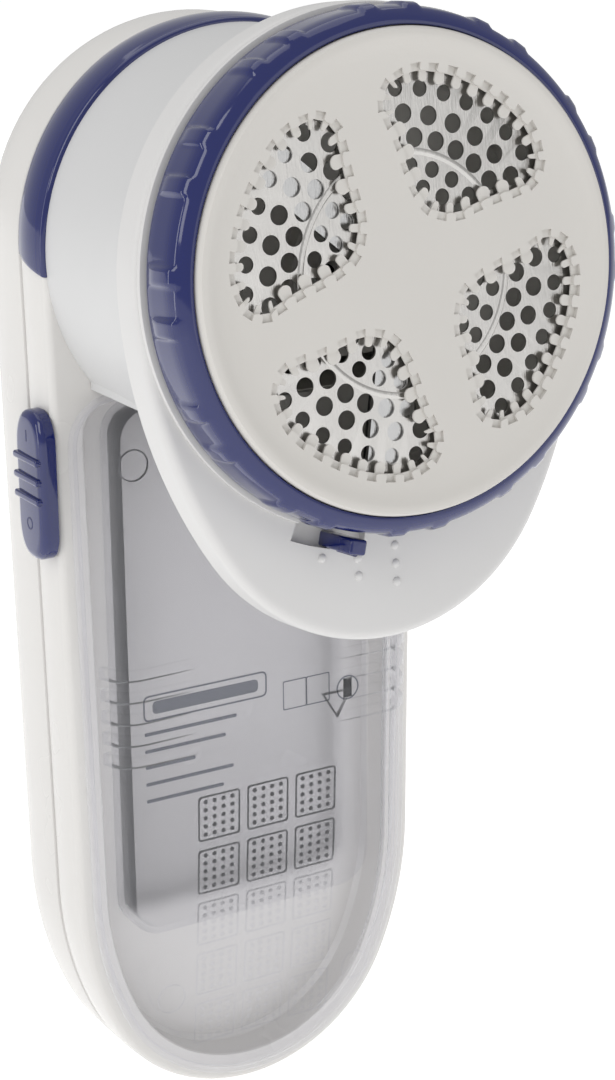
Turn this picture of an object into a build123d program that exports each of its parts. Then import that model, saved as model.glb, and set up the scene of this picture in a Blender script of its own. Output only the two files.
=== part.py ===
from build123d import *
from math import cos, sin, pi, radians, degrees, atan2, hypot
import os

os.makedirs("parts", exist_ok=True)

# ---------------------------------------------------------------- sizes, mm
# Frame: +Z up along the handle, the shaving face looks to -Y, X to the right.
HEAD_Y = -38.0          # centre of the ring's front edge
HEAD_Z = 153.0
HEAD_TILT = 5.9         # the face looks up by this much, degrees

# handle outline at the seam
ARCH_R = 34.4
ARCH_Z = 150.9
BOTTOM_R = 30.0
HIP_R = 60.0
HIP_AT = 65.0           # where the hip arc starts, degrees from straight down

SEAM_Y = 21.6           # front and rear shells meet here
RIM_Y = 12.9            # front rim of the handle
FLOOR_Y = 19.4          # floor of the pocket behind the lint box
BACK_Y = 42.7           # back of the handle
WALL = 1.8
BACK_ROUND = 14.0

# shaving head, depths measured back from the ring's front edge
RING_R = 38.0
RING_LIP_R = 35.0
RING_DEPTH = 8.8
RING_LIP = 1.3
RING_WALL = 2.3
GRIP_PAIRS = 12
GRIP_SPREAD = 5.5
GRIP_RISE = 0.5
GUARD_PROUD = 1.2
GUARD_THICK = 1.9
FOIL_R = 32.4
FOIL_TOP = 1.5
FOIL_THICK = 0.4
FOIL_SKIRT = 4.0
FRAME_THICK = 1.1
SLOT_WIDTH = 1.45
SLOT_LENGTH = 2.1
COLLAR_FRONT = 9.6
COLLAR_STEP = 0.8
COLLAR_BACK = 16.3
COLLAR_R = 38.8
CHIN_DROP = 55.6
CHIN_R = 32.0
CHAMBER_R = 33.4
CHAMBER_WALL = 1.9
FIT = 0.05              # running fit, radial
GAP = 0.3               # air between bodies

# rotor and motor
BLADE_R = 29.0
BLADE_THICK = 0.7
BLADE_WIDTH = 6.5
BLADE_COUNT = 3
HUB_R = 7.5
SHAFT_R = 1.0
MOTOR_R = 10.2
MOTOR_LENGTH = 25.0
MOTOR_FRONT = 15.0
MOUNT_THICK = 1.8

# height lever
LEVER_ANGLE = -14.0     # from straight down, towards -X
LEVER_WIDTH = 2.8
LEVER_HEIGHT = 2.4
LEVER_SWING = 6.5       # each way from the middle setting

# lint box
BOX_TOP = 128.4
BOX_FRONT = 6.0
BOX_WALL = 1.5
FLANGE_THICK = 1.3
BOX_SLIDE = 10.0

# battery bay, two cylindrical cells
CELL_R = 7.25
CELL_LENGTH = 50.5
CELL_GAP = 0.6
CELL_Z = 36.0
DOOR_W = 37.0
DOOR_H = 66.0
DOOR_Z = 30.0
HINGE_R = WALL / 2

# side switch
KNOB_LENGTH = 24.5
KNOB_W = 9.6
KNOB_TRAVEL = 5.0
KNOB_Z = 102.0          # lower end, switched off
KNOB_Y = 16.6
KNOB_SINK = 0.45
SCREW_R = 1.5

HEAD = Plane(
    origin=(0, HEAD_Y, HEAD_Z),
    x_dir=(1, 0, 0),
    z_dir=(0, -cos(radians(HEAD_TILT)), sin(radians(HEAD_TILT))),
)


def depth(d):
    """Plane parallel to the shaving face, d behind the ring's front edge."""
    return HEAD.offset(-d)


def front(y):
    """Plane facing the front, local x to the right and local y up."""
    return Plane(origin=(0, y, 0), x_dir=(1, 0, 0), z_dir=(0, -1, 0))


def hip():
    """Centre of the hip arc, and the lean of the straight side above it."""
    turn = radians(HIP_AT)
    cx = -(HIP_R - BOTTOM_R) * sin(turn)
    cz = BOTTOM_R + (HIP_R - BOTTOM_R) * cos(turn)
    lean = 0.0
    for _ in range(30):
        lean = (ARCH_R - cos(lean) * cx - HIP_R) / (ARCH_Z - cz)
    return cx, cz, lean


def draw_outline(inset):
    """Closed outline of the handle: an arch on two long sides and a round bottom."""
    cx, cz, lean = hip()
    turn = radians(HIP_AT)
    arch = ARCH_R - inset
    hip_r = HIP_R - inset
    low_r = BOTTOM_R - inset
    mid = -(pi / 2 - turn) / 2 - lean / 2
    for s in (1, -1):
        top = (s * arch * cos(lean), ARCH_Z - arch * sin(lean))
        side = (s * (cx + hip_r * cos(lean)), cz - hip_r * sin(lean))
        half = (s * (cx + hip_r * cos(mid)), cz + hip_r * sin(mid))
        join = (s * low_r * sin(turn), BOTTOM_R - low_r * cos(turn))
        Line(top, side)
        ThreePointArc(side, half, join)
    ThreePointArc((-join[0] * s, join[1]), (0, BOTTOM_R - low_r), (join[0] * s, join[1]))
    ThreePointArc((-top[0] * s, top[1]), (0, ARCH_Z + arch), (top[0] * s, top[1]))


def width_at(z, inset=0.0):
    """Half-width of the handle outline at a height."""
    cx, cz, lean = hip()
    if z >= ARCH_Z:
        return max((ARCH_R - inset) ** 2 - (z - ARCH_Z) ** 2, 0) ** 0.5
    if z >= cz:
        return cx + HIP_R + (z - cz) * lean - inset
    if z >= BOTTOM_R - BOTTOM_R * cos(radians(HIP_AT)):
        return cx + ((HIP_R - inset) ** 2 - (z - cz) ** 2) ** 0.5
    return max((BOTTOM_R - inset) ** 2 - (BOTTOM_R - z) ** 2, 0) ** 0.5


# ------------------------------------------------------------- rear shell
TRAY_TOP = CELL_Z + CELL_LENGTH + 6.0
CELL_Y = FLOOR_Y + WALL + CELL_GAP + CELL_R
SCREW_SPOTS = [(24.0, 130.2), (-24.0, 130.2), (16.0, 17.0), (-16.0, 17.0)]
POST_SPLIT = 5.4        # how far behind the seam the screw posts meet
POST_R = 3.4


def back_dome(inset, back, roundness):
    """Solid from the seam back, with its back edge rounded."""
    with BuildPart() as dome:
        with BuildSketch(front(back)):
            with BuildLine():
                draw_outline(inset)
            make_face()
        extrude(amount=back - SEAM_Y)
        fillet(dome.faces().sort_by(Axis.Y)[-1].edges(), radius=roundness)
    return dome.part


with BuildPart() as rear_shell:
    add(back_dome(0.0, BACK_Y, BACK_ROUND))
    add(back_dome(WALL, BACK_Y - WALL, BACK_ROUND - WALL), mode=Mode.SUBTRACT)
    with BuildSketch(front(BACK_Y - WALL / 2)) as post_plan:
        with Locations(*[(x, z) for x, z in SCREW_SPOTS]):
            Circle(POST_R)
    posts = extrude(amount=BACK_Y - WALL / 2 - SEAM_Y - POST_SPLIT - 0.05, mode=Mode.PRIVATE)
    body = back_dome(0.2, BACK_Y - 0.2, BACK_ROUND)
    add(posts & body, mode=Mode.ADD)
    with BuildSketch(front(BACK_Y + 1)) as door_hole:
        with Locations((0, DOOR_Z + DOOR_H / 2)):
            Rectangle(DOOR_W + 2 * GAP, DOOR_H + 2 * GAP)
        fillet(door_hole.vertices().sort_by(Axis.Y)[-2:], radius=3.0)
    extrude(amount=WALL + 2, mode=Mode.SUBTRACT)
    with BuildSketch(front(BACK_Y + 1)) as screw_holes:
        with Locations(*[(x, z) for x, z in SCREW_SPOTS]):
            Circle(SCREW_R + 0.1)
    extrude(amount=BACK_Y - SEAM_Y + 2, mode=Mode.SUBTRACT)
    with BuildSketch(front(BACK_Y + 1)) as screw_heads:
        with Locations(*[(x, z) for x, z in SCREW_SPOTS]):
            Circle(SCREW_R + 1.3)
    extrude(amount=11.0, mode=Mode.SUBTRACT)
rear_shell.part.label = "rear_shell"
export_step(rear_shell.part, "parts/rear_shell.step")


# ------------------------------------------------------------ front shell
TRIM_THICK = 1.7
TRIM_END = -5.0         # degrees past the horizontal where the trim stops
BEAD = 1.0
DRUM_CUT = 129.3        # flat underside of the head's neck
NECK_R = 34.0
NECK_FRONT_R = 36.4
POCKET_LOW = 7.0
POCKET_INSET = 5.2
HEAD_BACK = COLLAR_BACK
BAND = 5.0               # full ring of the neck behind the collar
POST_Y = SEAM_Y + POST_SPLIT


def neck_loft(shrink, extra):
    """Neck between the handle's arch and the head, as a lofted tube."""
    with BuildPart() as tube:
        with BuildSketch(front(RIM_Y + extra)):
            with Locations((0, ARCH_Z)):
                Circle(NECK_R - shrink)
        with BuildSketch(depth(HEAD_BACK - (extra if shrink else 0))):
            Circle(NECK_FRONT_R - shrink)
        loft()
    return tube.part


def neck_hollow():
    """Inside of the neck, down to its flat floor."""
    with BuildPart() as above:
        with BuildSketch(front(SEAM_Y)):
            with Locations((0, DRUM_CUT + WALL + 50)):
                Rectangle(90, 100)
        extrude(amount=90)
    return neck_loft(WALL, 0.6) & above.part


with BuildPart() as front_shell:
    with BuildSketch(front(SEAM_Y)):
        with BuildLine():
            draw_outline(0.0)
        make_face()
    extrude(amount=SEAM_Y - RIM_Y)
    fillet(front_shell.faces().sort_by(Axis.Y)[0].edges(), radius=2.4)
    add(neck_loft(0.0, 0.5))
    # flat underside of the neck, over the lint box
    with BuildSketch(front(RIM_Y)):
        with Locations((0, DRUM_CUT - 25)):
            Rectangle(90, 50)
    extrude(amount=RIM_Y - HEAD_Y - COLLAR_BACK - BAND, mode=Mode.SUBTRACT)
    # seat for the chamber floor
    with BuildSketch(depth(COLLAR_BACK + MOUNT_THICK + 0.1)):
        Circle(CHAMBER_R + CHAMBER_WALL - 1.1)
    extrude(amount=6.0, mode=Mode.SUBTRACT)
    # hollow neck and hollow handle
    add(neck_hollow(), mode=Mode.SUBTRACT)
    with BuildSketch(front(SEAM_Y)):
        with BuildLine():
            draw_outline(WALL)
        make_face()
    extrude(amount=SEAM_Y - FLOOR_Y - WALL, mode=Mode.SUBTRACT)
    with BuildSketch(front(SEAM_Y)):
        with Locations((0, ARCH_Z)):
            Circle(NECK_R - WALL - 0.4)
        with Locations((0, DRUM_CUT + WALL - 50)):
            Rectangle(90, 100, mode=Mode.SUBTRACT)
    extrude(amount=SEAM_Y - RIM_Y - 0.1, mode=Mode.SUBTRACT)
    # pocket for the lint box, open at its front
    with BuildSketch(front(FLOOR_Y)):
        with BuildLine():
            draw_outline(POCKET_INSET)
        make_face()
        with Locations((0, DRUM_CUT - 2.6 + 60)):
            Rectangle(90, 120, mode=Mode.SUBTRACT)
    extrude(amount=FLOOR_Y - RIM_Y + 1, mode=Mode.SUBTRACT)
    # side hollows between pocket wall and outer wall
    with BuildSketch(front(SEAM_Y)):
        with BuildLine():
            draw_outline(WALL)
        make_face()
        with BuildLine():
            draw_outline(POCKET_INSET - 1.4)
        make_face(mode=Mode.SUBTRACT)
        with Locations((0, DRUM_CUT + 50)):
            Rectangle(90, 100, mode=Mode.SUBTRACT)
    extrude(amount=SEAM_Y - RIM_Y - WALL, mode=Mode.SUBTRACT)
    # rebate under the arch trim
    with BuildSketch(front(SEAM_Y)):
        with BuildLine():
            a = radians(TRIM_END)
            CenterArc((0, ARCH_Z), ARCH_R + 2, TRIM_END, 180 - 2 * TRIM_END)
            CenterArc((0, ARCH_Z), ARCH_R - TRIM_THICK, TRIM_END, 180 - 2 * TRIM_END)
            Line(
                ((ARCH_R + 2) * cos(a), ARCH_Z + (ARCH_R + 2) * sin(a)),
                ((ARCH_R - TRIM_THICK) * cos(a), ARCH_Z + (ARCH_R - TRIM_THICK) * sin(a)),
            )
            Line(
                (-(ARCH_R + 2) * cos(a), ARCH_Z + (ARCH_R + 2) * sin(a)),
                (-(ARCH_R - TRIM_THICK) * cos(a), ARCH_Z + (ARCH_R - TRIM_THICK) * sin(a)),
            )
        make_face()
    extrude(amount=SEAM_Y - RIM_Y, mode=Mode.SUBTRACT)
    # lint opening in the floor of the neck, above the box
    with BuildSketch(Plane.XY.offset(DRUM_CUT + WALL + 1)):
        with Locations((0, (RIM_Y + FLOOR_Y) / 2 - 3)):
            Rectangle(30, 9)
    extrude(amount=-WALL - 5, mode=Mode.SUBTRACT)
    # switch slot through the left side wall
    with BuildSketch(Plane.YZ.offset(-ARCH_R - 2)):
        with Locations((KNOB_Y, KNOB_Z + KNOB_LENGTH / 2 + KNOB_TRAVEL / 2)):
            Rectangle(3.2, KNOB_TRAVEL + 7.0)
    extrude(amount=6.0, mode=Mode.SUBTRACT)
    # shallow bed that the knob runs in
    with BuildSketch(Plane.YZ.offset(-width_at(KNOB_Z + KNOB_LENGTH / 2) - 3)):
        with Locations((KNOB_Y, KNOB_Z + (KNOB_LENGTH + KNOB_TRAVEL) / 2)):
            RectangleRounded(KNOB_W + 0.8, KNOB_LENGTH + KNOB_TRAVEL + 0.8, 4.0)
    extrude(amount=3.0 + KNOB_SINK + 0.15, mode=Mode.SUBTRACT)
    # screw holes
    with BuildSketch(front(POST_Y)):
        with Locations(*[(x, z) for x, z in SCREW_SPOTS]):
            Circle(POST_R)
    extrude(amount=POST_Y - FLOOR_Y - 0.2)
    with BuildSketch(front(POST_Y + 1)):
        with Locations(*[(x, z) for x, z in SCREW_SPOTS]):
            Circle(SCREW_R)
    extrude(amount=6.4, mode=Mode.SUBTRACT)
front_shell.part.label = "front_shell"
export_step(front_shell.part, "parts/front_shell.step")


# -------------------------------------------------------------- arch trim
with BuildPart() as top_trim:
    with BuildSketch(front(SEAM_Y - 0.05)):
        with BuildLine():
            a = radians(TRIM_END + 0.2)
            CenterArc((0, ARCH_Z), ARCH_R + 0.4, TRIM_END + 0.2, 179.6 - 2 * TRIM_END)
            CenterArc((0, ARCH_Z), ARCH_R - TRIM_THICK + 0.05, TRIM_END + 0.2, 179.6 - 2 * TRIM_END)
            Line(
                ((ARCH_R + 0.4) * cos(a), ARCH_Z + (ARCH_R + 0.4) * sin(a)),
                ((ARCH_R - TRIM_THICK + 0.05) * cos(a), ARCH_Z + (ARCH_R - TRIM_THICK + 0.05) * sin(a)),
            )
            Line(
                (-(ARCH_R + 0.4) * cos(a), ARCH_Z + (ARCH_R + 0.4) * sin(a)),
                (-(ARCH_R - TRIM_THICK + 0.05) * cos(a), ARCH_Z + (ARCH_R - TRIM_THICK + 0.05) * sin(a)),
            )
        make_face()
    extrude(amount=SEAM_Y - RIM_Y - 0.1)
    outer = top_trim.faces().filter_by(GeomType.CYLINDER).sort_by(SortBy.AREA)[-1]
    fillet(outer.edges().filter_by(GeomType.CIRCLE), radius=1.1)
top_trim.part.label = "top_trim"
export_step(top_trim.part, "parts/top_trim.step")


# ------------------------------------------------------------ head collar
LEVER_R = RING_R + GRIP_RISE + 0.35


def egg(inset):
    """Collar outline: round above, drawn out into a chin below."""
    low = CHIN_DROP - CHIN_R
    side_r = (COLLAR_R ** 2 + low ** 2 - CHIN_R ** 2) / (2 * (COLLAR_R - CHIN_R))
    turn = atan2(low, side_r - COLLAR_R)
    radius = COLLAR_R - inset
    chin = CHIN_R - inset
    for s in (1, -1):
        top = (s * radius, 0.0)
        half = (
            s * (COLLAR_R - side_r + (side_r - inset) * cos(turn / 2)),
            -(side_r - inset) * sin(turn / 2),
        )
        join = (s * chin * cos(turn), -low - chin * sin(turn))
        ThreePointArc(top, half, join)
    ThreePointArc((-join[0] * s, join[1]), (0, -low - chin), (join[0] * s, join[1]))
    ThreePointArc((-radius, 0), (0, radius), (radius, 0))


DOT_R = 0.65
DOT_SPOTS = [
    (-11.7, -41.3),
    (-5.6, -42.3), (-5.6, -45.0),
    (1.0, -41.4), (1.0, -44.2), (1.0, -47.0),
]

with BuildPart() as head_collar:
    with BuildSketch(depth(COLLAR_BACK)):
        with BuildLine():
            egg(0.0)
        make_face()
    extrude(amount=COLLAR_BACK - COLLAR_FRONT - COLLAR_STEP)
    fillet(head_collar.faces().sort_by(Axis.Y)[0].edges(), radius=1.6)
    with BuildSketch(depth(COLLAR_FRONT + COLLAR_STEP + 0.5)):
        Circle(COLLAR_R - 0.15)
    extrude(amount=COLLAR_STEP + 0.5)
    # hollow behind the chin
    with BuildSketch(depth(COLLAR_BACK)):
        with BuildLine():
            egg(2.0)
        make_face()
        Circle(CHAMBER_R + CHAMBER_WALL, mode=Mode.SUBTRACT)
    extrude(amount=COLLAR_BACK - COLLAR_FRONT - COLLAR_STEP - 2.0, mode=Mode.SUBTRACT)
    # spigot that takes the foil frame
    with BuildSketch(depth(COLLAR_FRONT)):
        Circle(FOIL_R - FOIL_THICK - FRAME_THICK - 0.1)
    # blade chamber
    with BuildSketch(depth(COLLAR_BACK)):
        Circle(CHAMBER_R)
    extrude(amount=COLLAR_BACK - COLLAR_FRONT + 1, mode=Mode.SUBTRACT)
    # slot that the lever's arm comes through
    with BuildSketch(depth(COLLAR_FRONT + COLLAR_STEP + 2.2)):
        with BuildLine():
            a0 = 270 + LEVER_ANGLE - LEVER_SWING - 3.2
            a1 = 2 * (LEVER_SWING + 3.2)
            CenterArc((0, 0), LEVER_R + LEVER_HEIGHT + 0.2, a0, a1)
            CenterArc((0, 0), CHAMBER_R - 1, a0, a1)
            for a in (a0, a0 + a1):
                Line(
                    ((LEVER_R + LEVER_HEIGHT + 0.2) * cos(radians(a)),
                     (LEVER_R + LEVER_HEIGHT + 0.2) * sin(radians(a))),
                    ((CHAMBER_R - 1) * cos(radians(a)), (CHAMBER_R - 1) * sin(radians(a))),
                )
        make_face()
    extrude(amount=COLLAR_STEP + 3, mode=Mode.SUBTRACT)
    # raised dots beside the three lever positions
    with BuildSketch(depth(COLLAR_FRONT + COLLAR_STEP + 0.3)):
        with Locations(*DOT_SPOTS):
            Circle(DOT_R)
    extrude(amount=0.75)
head_collar.part.label = "head_collar"
export_step(head_collar.part, "parts/head_collar.step")


# ----------------------------------------------------------- height lever
with BuildPart() as height_lever:
    cam_out = CHAMBER_R - FIT - 0.05
    with BuildSketch(depth(COLLAR_FRONT + COLLAR_STEP + 2.0)):
        Circle(cam_out)
        Circle(cam_out - 1.6, mode=Mode.SUBTRACT)
    extrude(amount=3.4)
    arm = COLLAR_FRONT + COLLAR_STEP + 2.0
    with BuildSketch(depth(arm)):
        with Locations(Rotation(0, 0, LEVER_ANGLE)):
            with Locations((0, -(cam_out - 0.5 + LEVER_R + LEVER_HEIGHT) / 2)):
                Rectangle(LEVER_WIDTH, LEVER_R + LEVER_HEIGHT - cam_out + 0.5)
    extrude(amount=1.6)
    with BuildSketch(depth(arm)):
        with Locations(Rotation(0, 0, LEVER_ANGLE)):
            with Locations((0, -(LEVER_R + LEVER_HEIGHT / 2))):
                RectangleRounded(LEVER_WIDTH, LEVER_HEIGHT, 0.6)
    extrude(amount=arm - 3.0)
height_lever.part.label = "height_lever"
export_step(height_lever.part, "parts/height_lever.step")


# -------------------------------------------------------------- lock ring
with BuildPart() as lock_ring:
    with BuildSketch(Plane.XZ) as ring_section:
        with BuildLine():
            Polyline(
                (RING_LIP_R + 0.05, 0.15),
                (RING_LIP_R + 0.3, 0.0),
                (RING_R - 1.0, -1.0),
                (RING_R - 0.45, -1.9),
                (RING_R - 0.1, -2.9),
                (RING_R, -RING_DEPTH),
                (RING_R - RING_WALL, -RING_DEPTH),
                (RING_R - RING_WALL, -RING_LIP),
                (RING_LIP_R + 0.05, -RING_LIP),
                close=True,
            )
        make_face()
    revolve(axis=Axis.Z)
    grips = []
    for i in range(GRIP_PAIRS):
        for s in (-1, 1):
            grips.append(360 / GRIP_PAIRS * (i + 0.5) + s * GRIP_SPREAD)
    with BuildSketch(Plane.XY.offset(-RING_DEPTH + 1.2)):
        for g in grips:
            with Locations(Rotation(0, 0, g)):
                with Locations((RING_R - 0.4, 0)):
                    RectangleRounded(0.8 + 2 * GRIP_RISE, 2.4, 0.85)
    extrude(amount=RING_DEPTH - 3.4)
lock_ring.part = HEAD.location * lock_ring.part
lock_ring.part.label = "lock_ring"
export_step(lock_ring.part, "parts/lock_ring.step")


# ------------------------------------------------------------ guard plate
SLOT_TIPS = [
    (-24.0, -4.0), (-27.2, -3.0), (-28.8, -0.5), (-29.6, 2.5), (-29.4, 5.6), (-28.7, 8.9),
    (-27.5, 11.9), (-26.0, 14.8), (-24.2, 17.6), (-22.0, 20.4), (-19.4, 22.6), (-16.3, 23.8),
    (-13.3, 24.1), (-10.4, 22.3), (-9.3, 19.1), (-8.7, 15.6), (-7.8, 12.2), (-6.9, 9.0),
    (-7.2, 5.7), (-8.6, 2.8), (-11.6, 0.8), (-15.0, -0.5), (-18.3, -1.5), (-21.4, -2.9),
]


def slot_frames():
    """Tip, inner end and direction of each slot round one window."""
    frames = []
    count = len(SLOT_TIPS)
    for i, (x, y) in enumerate(SLOT_TIPS):
        ax, ay = SLOT_TIPS[i - 1]
        bx, by = SLOT_TIPS[(i + 1) % count]
        length = hypot(bx - ax, by - ay)
        nx, ny = (by - ay) / length, -(bx - ax) / length
        frames.append((x, y, nx, ny))
    return frames


with BuildPart() as guard_plate:
    with BuildSketch(Plane.XY.offset(GUARD_PROUD - GUARD_THICK)):
        Circle(RING_LIP_R - 0.1)
    extrude(amount=GUARD_THICK)
    fillet(guard_plate.faces().sort_by(Axis.Z)[-1].edges(), radius=1.1)
    flange_top = -RING_LIP - 0.05
    with BuildSketch(Plane.XY.offset(-3.2)):
        Circle(RING_R - RING_WALL - 0.1)
        Circle(FOIL_R + 0.5, mode=Mode.SUBTRACT)
    extrude(amount=3.2 + flange_top)
    with BuildSketch(Plane.XY.offset(-3.2)):
        Circle(RING_LIP_R - 0.1)
        Circle(FOIL_R + 0.5, mode=Mode.SUBTRACT)
    extrude(amount=3.2 + GUARD_PROUD - GUARD_THICK)
    with BuildSketch(Plane.XY.offset(-1.0)) as windows:
        for quarter in range(4):
            with Locations(Rotation(0, 0, 90 * quarter)):
                with BuildLine(mode=Mode.PRIVATE) as leaf:
                    Polyline(
                        *[(x + nx * SLOT_LENGTH, y + ny * SLOT_LENGTH)
                          for x, y, nx, ny in slot_frames()],
                        close=True,
                    )
                add(make_face(leaf.edges(), mode=Mode.PRIVATE))
                for x, y, nx, ny in slot_frames():
                    turn = degrees(atan2(ny, nx))
                    mid = SLOT_LENGTH / 2 + 0.5
                    with Locations(Location((x + nx * mid, y + ny * mid), turn)):
                        Rectangle(SLOT_LENGTH + 1.0, SLOT_WIDTH)
    extrude(amount=GUARD_PROUD + 2, mode=Mode.SUBTRACT)
guard_plate.part = HEAD.location * guard_plate.part
guard_plate.part.label = "guard_plate"
export_step(guard_plate.part, "parts/guard_plate.step")


# ----------------------------------------------------------- shaving foil
FOIL_RINGS = [(22.7, 33, 1.42, 0.0), (19.4, 33, 1.42, 5.45), (15.4, 26, 1.2, 0.0), (12.5, 22, 1.2, 7.0)]
RIDGE_R = 17.4

with BuildPart() as shaving_foil:
    with BuildSketch(Plane.XY.offset(-FOIL_TOP - FOIL_THICK)):
        Circle(FOIL_R)
    extrude(amount=FOIL_THICK)
    with BuildSketch(Plane.XY.offset(-FOIL_TOP - FOIL_SKIRT)):
        Circle(FOIL_R)
        Circle(FOIL_R - FOIL_THICK, mode=Mode.SUBTRACT)
    extrude(amount=FOIL_SKIRT)
    with BuildSketch(Plane.XY.offset(-FOIL_TOP - 0.1)):
        Circle(RIDGE_R + 0.35)
        Circle(RIDGE_R - 0.35, mode=Mode.SUBTRACT)
    extrude(amount=0.25)
    with BuildSketch(Plane.XY.offset(-FOIL_TOP - 1)) as holes:
        for ring_r, count, hole_r, start in FOIL_RINGS:
            with PolarLocations(ring_r, count, start_angle=start):
                Circle(hole_r)
        with PolarLocations(26.3, 40):
            Circle(1.2)
    extrude(amount=2, mode=Mode.SUBTRACT)
shaving_foil.part = HEAD.location * shaving_foil.part
shaving_foil.part.label = "shaving_foil"
export_step(shaving_foil.part, "parts/shaving_foil.step")


# ------------------------------------------------------------- foil frame
FRAME_BACK = COLLAR_FRONT + COLLAR_STEP - 1.6
frame_out = FOIL_R - FOIL_THICK

with BuildPart() as foil_frame:
    with BuildSketch(Plane.XY.offset(-COLLAR_BACK + 1.0)):
        Circle(frame_out - 0.35)
        Circle(frame_out - FRAME_THICK - 0.35, mode=Mode.SUBTRACT)
    extrude(amount=COLLAR_BACK - 1.0 - FOIL_TOP - FOIL_THICK)
    with BuildSketch(Plane.XY.offset(-FOIL_TOP - FOIL_SKIRT)):
        Circle(frame_out)
        Circle(frame_out - FRAME_THICK - 0.35, mode=Mode.SUBTRACT)
    extrude(amount=FOIL_SKIRT - FOIL_THICK)
    with BuildSketch(Plane.XY.offset(-COLLAR_BACK)):
        Circle(CHAMBER_R)
        Circle(frame_out - FRAME_THICK - 0.35, mode=Mode.SUBTRACT)
    extrude(amount=1.2)
foil_frame.part = HEAD.location * foil_frame.part
foil_frame.part.label = "foil_frame"
export_step(foil_frame.part, "parts/foil_frame.step")


# ----------------------------------------------------------------- blades
BLADE_TOP = FOIL_TOP + FOIL_THICK + 0.12

with BuildPart() as shaver_blades:
    with BuildSketch(Plane.XY.offset(-BLADE_TOP - BLADE_THICK)):
        for i in range(BLADE_COUNT):
            with Locations(Rotation(0, 0, 360 / BLADE_COUNT * i + 20)):
                with Locations(((HUB_R - 2.0 + BLADE_R) / 2, 0)):
                    Rectangle(BLADE_R - HUB_R + 2.0, BLADE_WIDTH)
    extrude(amount=BLADE_THICK)
shaver_blades.part = HEAD.location * shaver_blades.part
shaver_blades.part.label = "shaver_blades"
export_step(shaver_blades.part, "parts/shaver_blades.step")


# ---------------------------------------------------------- blade carrier
CARRIER_BACK = 10.2

with BuildPart() as blade_carrier:
    with BuildSketch(Plane.XY.offset(-BLADE_TOP - BLADE_THICK - 1.8)):
        Circle(HUB_R)
        for i in range(BLADE_COUNT):
            with Locations(Rotation(0, 0, 360 / BLADE_COUNT * i + 20)):
                with Locations(((HUB_R - 2.0 + BLADE_R - 2) / 2, 0)):
                    Rectangle(BLADE_R - HUB_R, BLADE_WIDTH - 1.5)
    extrude(amount=1.8)
    with BuildSketch(Plane.XY.offset(-CARRIER_BACK)):
        Circle(HUB_R - 2)
    extrude(amount=CARRIER_BACK - BLADE_TOP - BLADE_THICK - 1.0)
    with BuildSketch(Plane.XY.offset(-CARRIER_BACK - 1)):
        Circle(HUB_R - 3.4)
    extrude(amount=4.2, mode=Mode.SUBTRACT)
    with BuildSketch(Plane.XY.offset(-CARRIER_BACK - 1)):
        Circle(SHAFT_R)
    extrude(amount=CARRIER_BACK, mode=Mode.SUBTRACT)
blade_carrier.part = HEAD.location * blade_carrier.part
blade_carrier.part.label = "blade_carrier"
export_step(blade_carrier.part, "parts/blade_carrier.step")


# ----------------------------------------------------------- rotor spring
SPRING_R = 2.6
SPRING_WIRE = 0.3

with BuildPart() as rotor_spring:
    spring_low = -CARRIER_BACK + 0.3
    with BuildLine() as coil:
        Helix(pitch=1.0, height=2.4, radius=SPRING_R, center=(0, 0, spring_low - 0.1))
    with BuildSketch(Plane(origin=coil.line @ 0, z_dir=coil.line % 0)):
        Circle(SPRING_WIRE)
    sweep(is_frenet=True)
rotor_spring.part = HEAD.location * rotor_spring.part
rotor_spring.part.label = "rotor_spring"
export_step(rotor_spring.part, "parts/rotor_spring.step")


# -------------------------------------------------------------- the motor
SHAFT_FRONT = BLADE_TOP + BLADE_THICK + 2.4
MOTOR_BACK = MOTOR_FRONT + MOTOR_LENGTH
ARMATURE_R = 6.4

with BuildPart() as motor_shaft:
    with BuildSketch(Plane.XY.offset(-MOTOR_BACK - 1.2)):
        Circle(SHAFT_R)
    extrude(amount=MOTOR_BACK + 1.2 - SHAFT_FRONT)
    with BuildSketch(Plane.XY.offset(-MOTOR_BACK + 7.0)):
        Circle(ARMATURE_R)
        with PolarLocations(ARMATURE_R - 1.0, 3):
            Rectangle(4.0, 1.6, mode=Mode.SUBTRACT)
    extrude(amount=MOTOR_LENGTH - 11.0)
    with BuildSketch(Plane.XY.offset(-MOTOR_BACK + 3.4)):
        Circle(2.6)
    extrude(amount=3.6)
motor_shaft.part = HEAD.location * motor_shaft.part
motor_shaft.part.label = "motor_shaft"
export_step(motor_shaft.part, "parts/motor_shaft.step")

with BuildPart() as motor_can:
    with BuildSketch(Plane.XY.offset(-MOTOR_BACK + 1.6)):
        Circle(MOTOR_R)
    extrude(amount=MOTOR_LENGTH - 1.6)
    with BuildSketch(Plane.XY.offset(-MOTOR_BACK + 1.6)):
        Circle(MOTOR_R - 0.9)
    extrude(amount=MOTOR_LENGTH - 2.6, mode=Mode.SUBTRACT)
    with BuildSketch(Plane.XY.offset(-MOTOR_FRONT - 1)):
        Circle(3.0)
    extrude(amount=2.4)
    with BuildSketch(Plane.XY.offset(-MOTOR_FRONT - 2)):
        Circle(2.2)
        with Locations((-6.5, 0), (6.5, 0)):
            Circle(0.8)
    extrude(amount=4.5, mode=Mode.SUBTRACT)
motor_can.part = HEAD.location * motor_can.part
motor_can.part.label = "motor_can"
export_step(motor_can.part, "parts/motor_can.step")

with BuildPart() as motor_magnets:
    with BuildSketch(Plane.XY.offset(-MOTOR_BACK + 6.0)):
        Circle(MOTOR_R - 0.9)
        Circle(ARMATURE_R + 0.5, mode=Mode.SUBTRACT)
        Rectangle(40, 5, mode=Mode.SUBTRACT)
    extrude(amount=MOTOR_LENGTH - 9.5)
motor_magnets.part = HEAD.location * motor_magnets.part
motor_magnets.part.label = "motor_magnets"
export_step(motor_magnets.part, "parts/motor_magnets.step")

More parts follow.
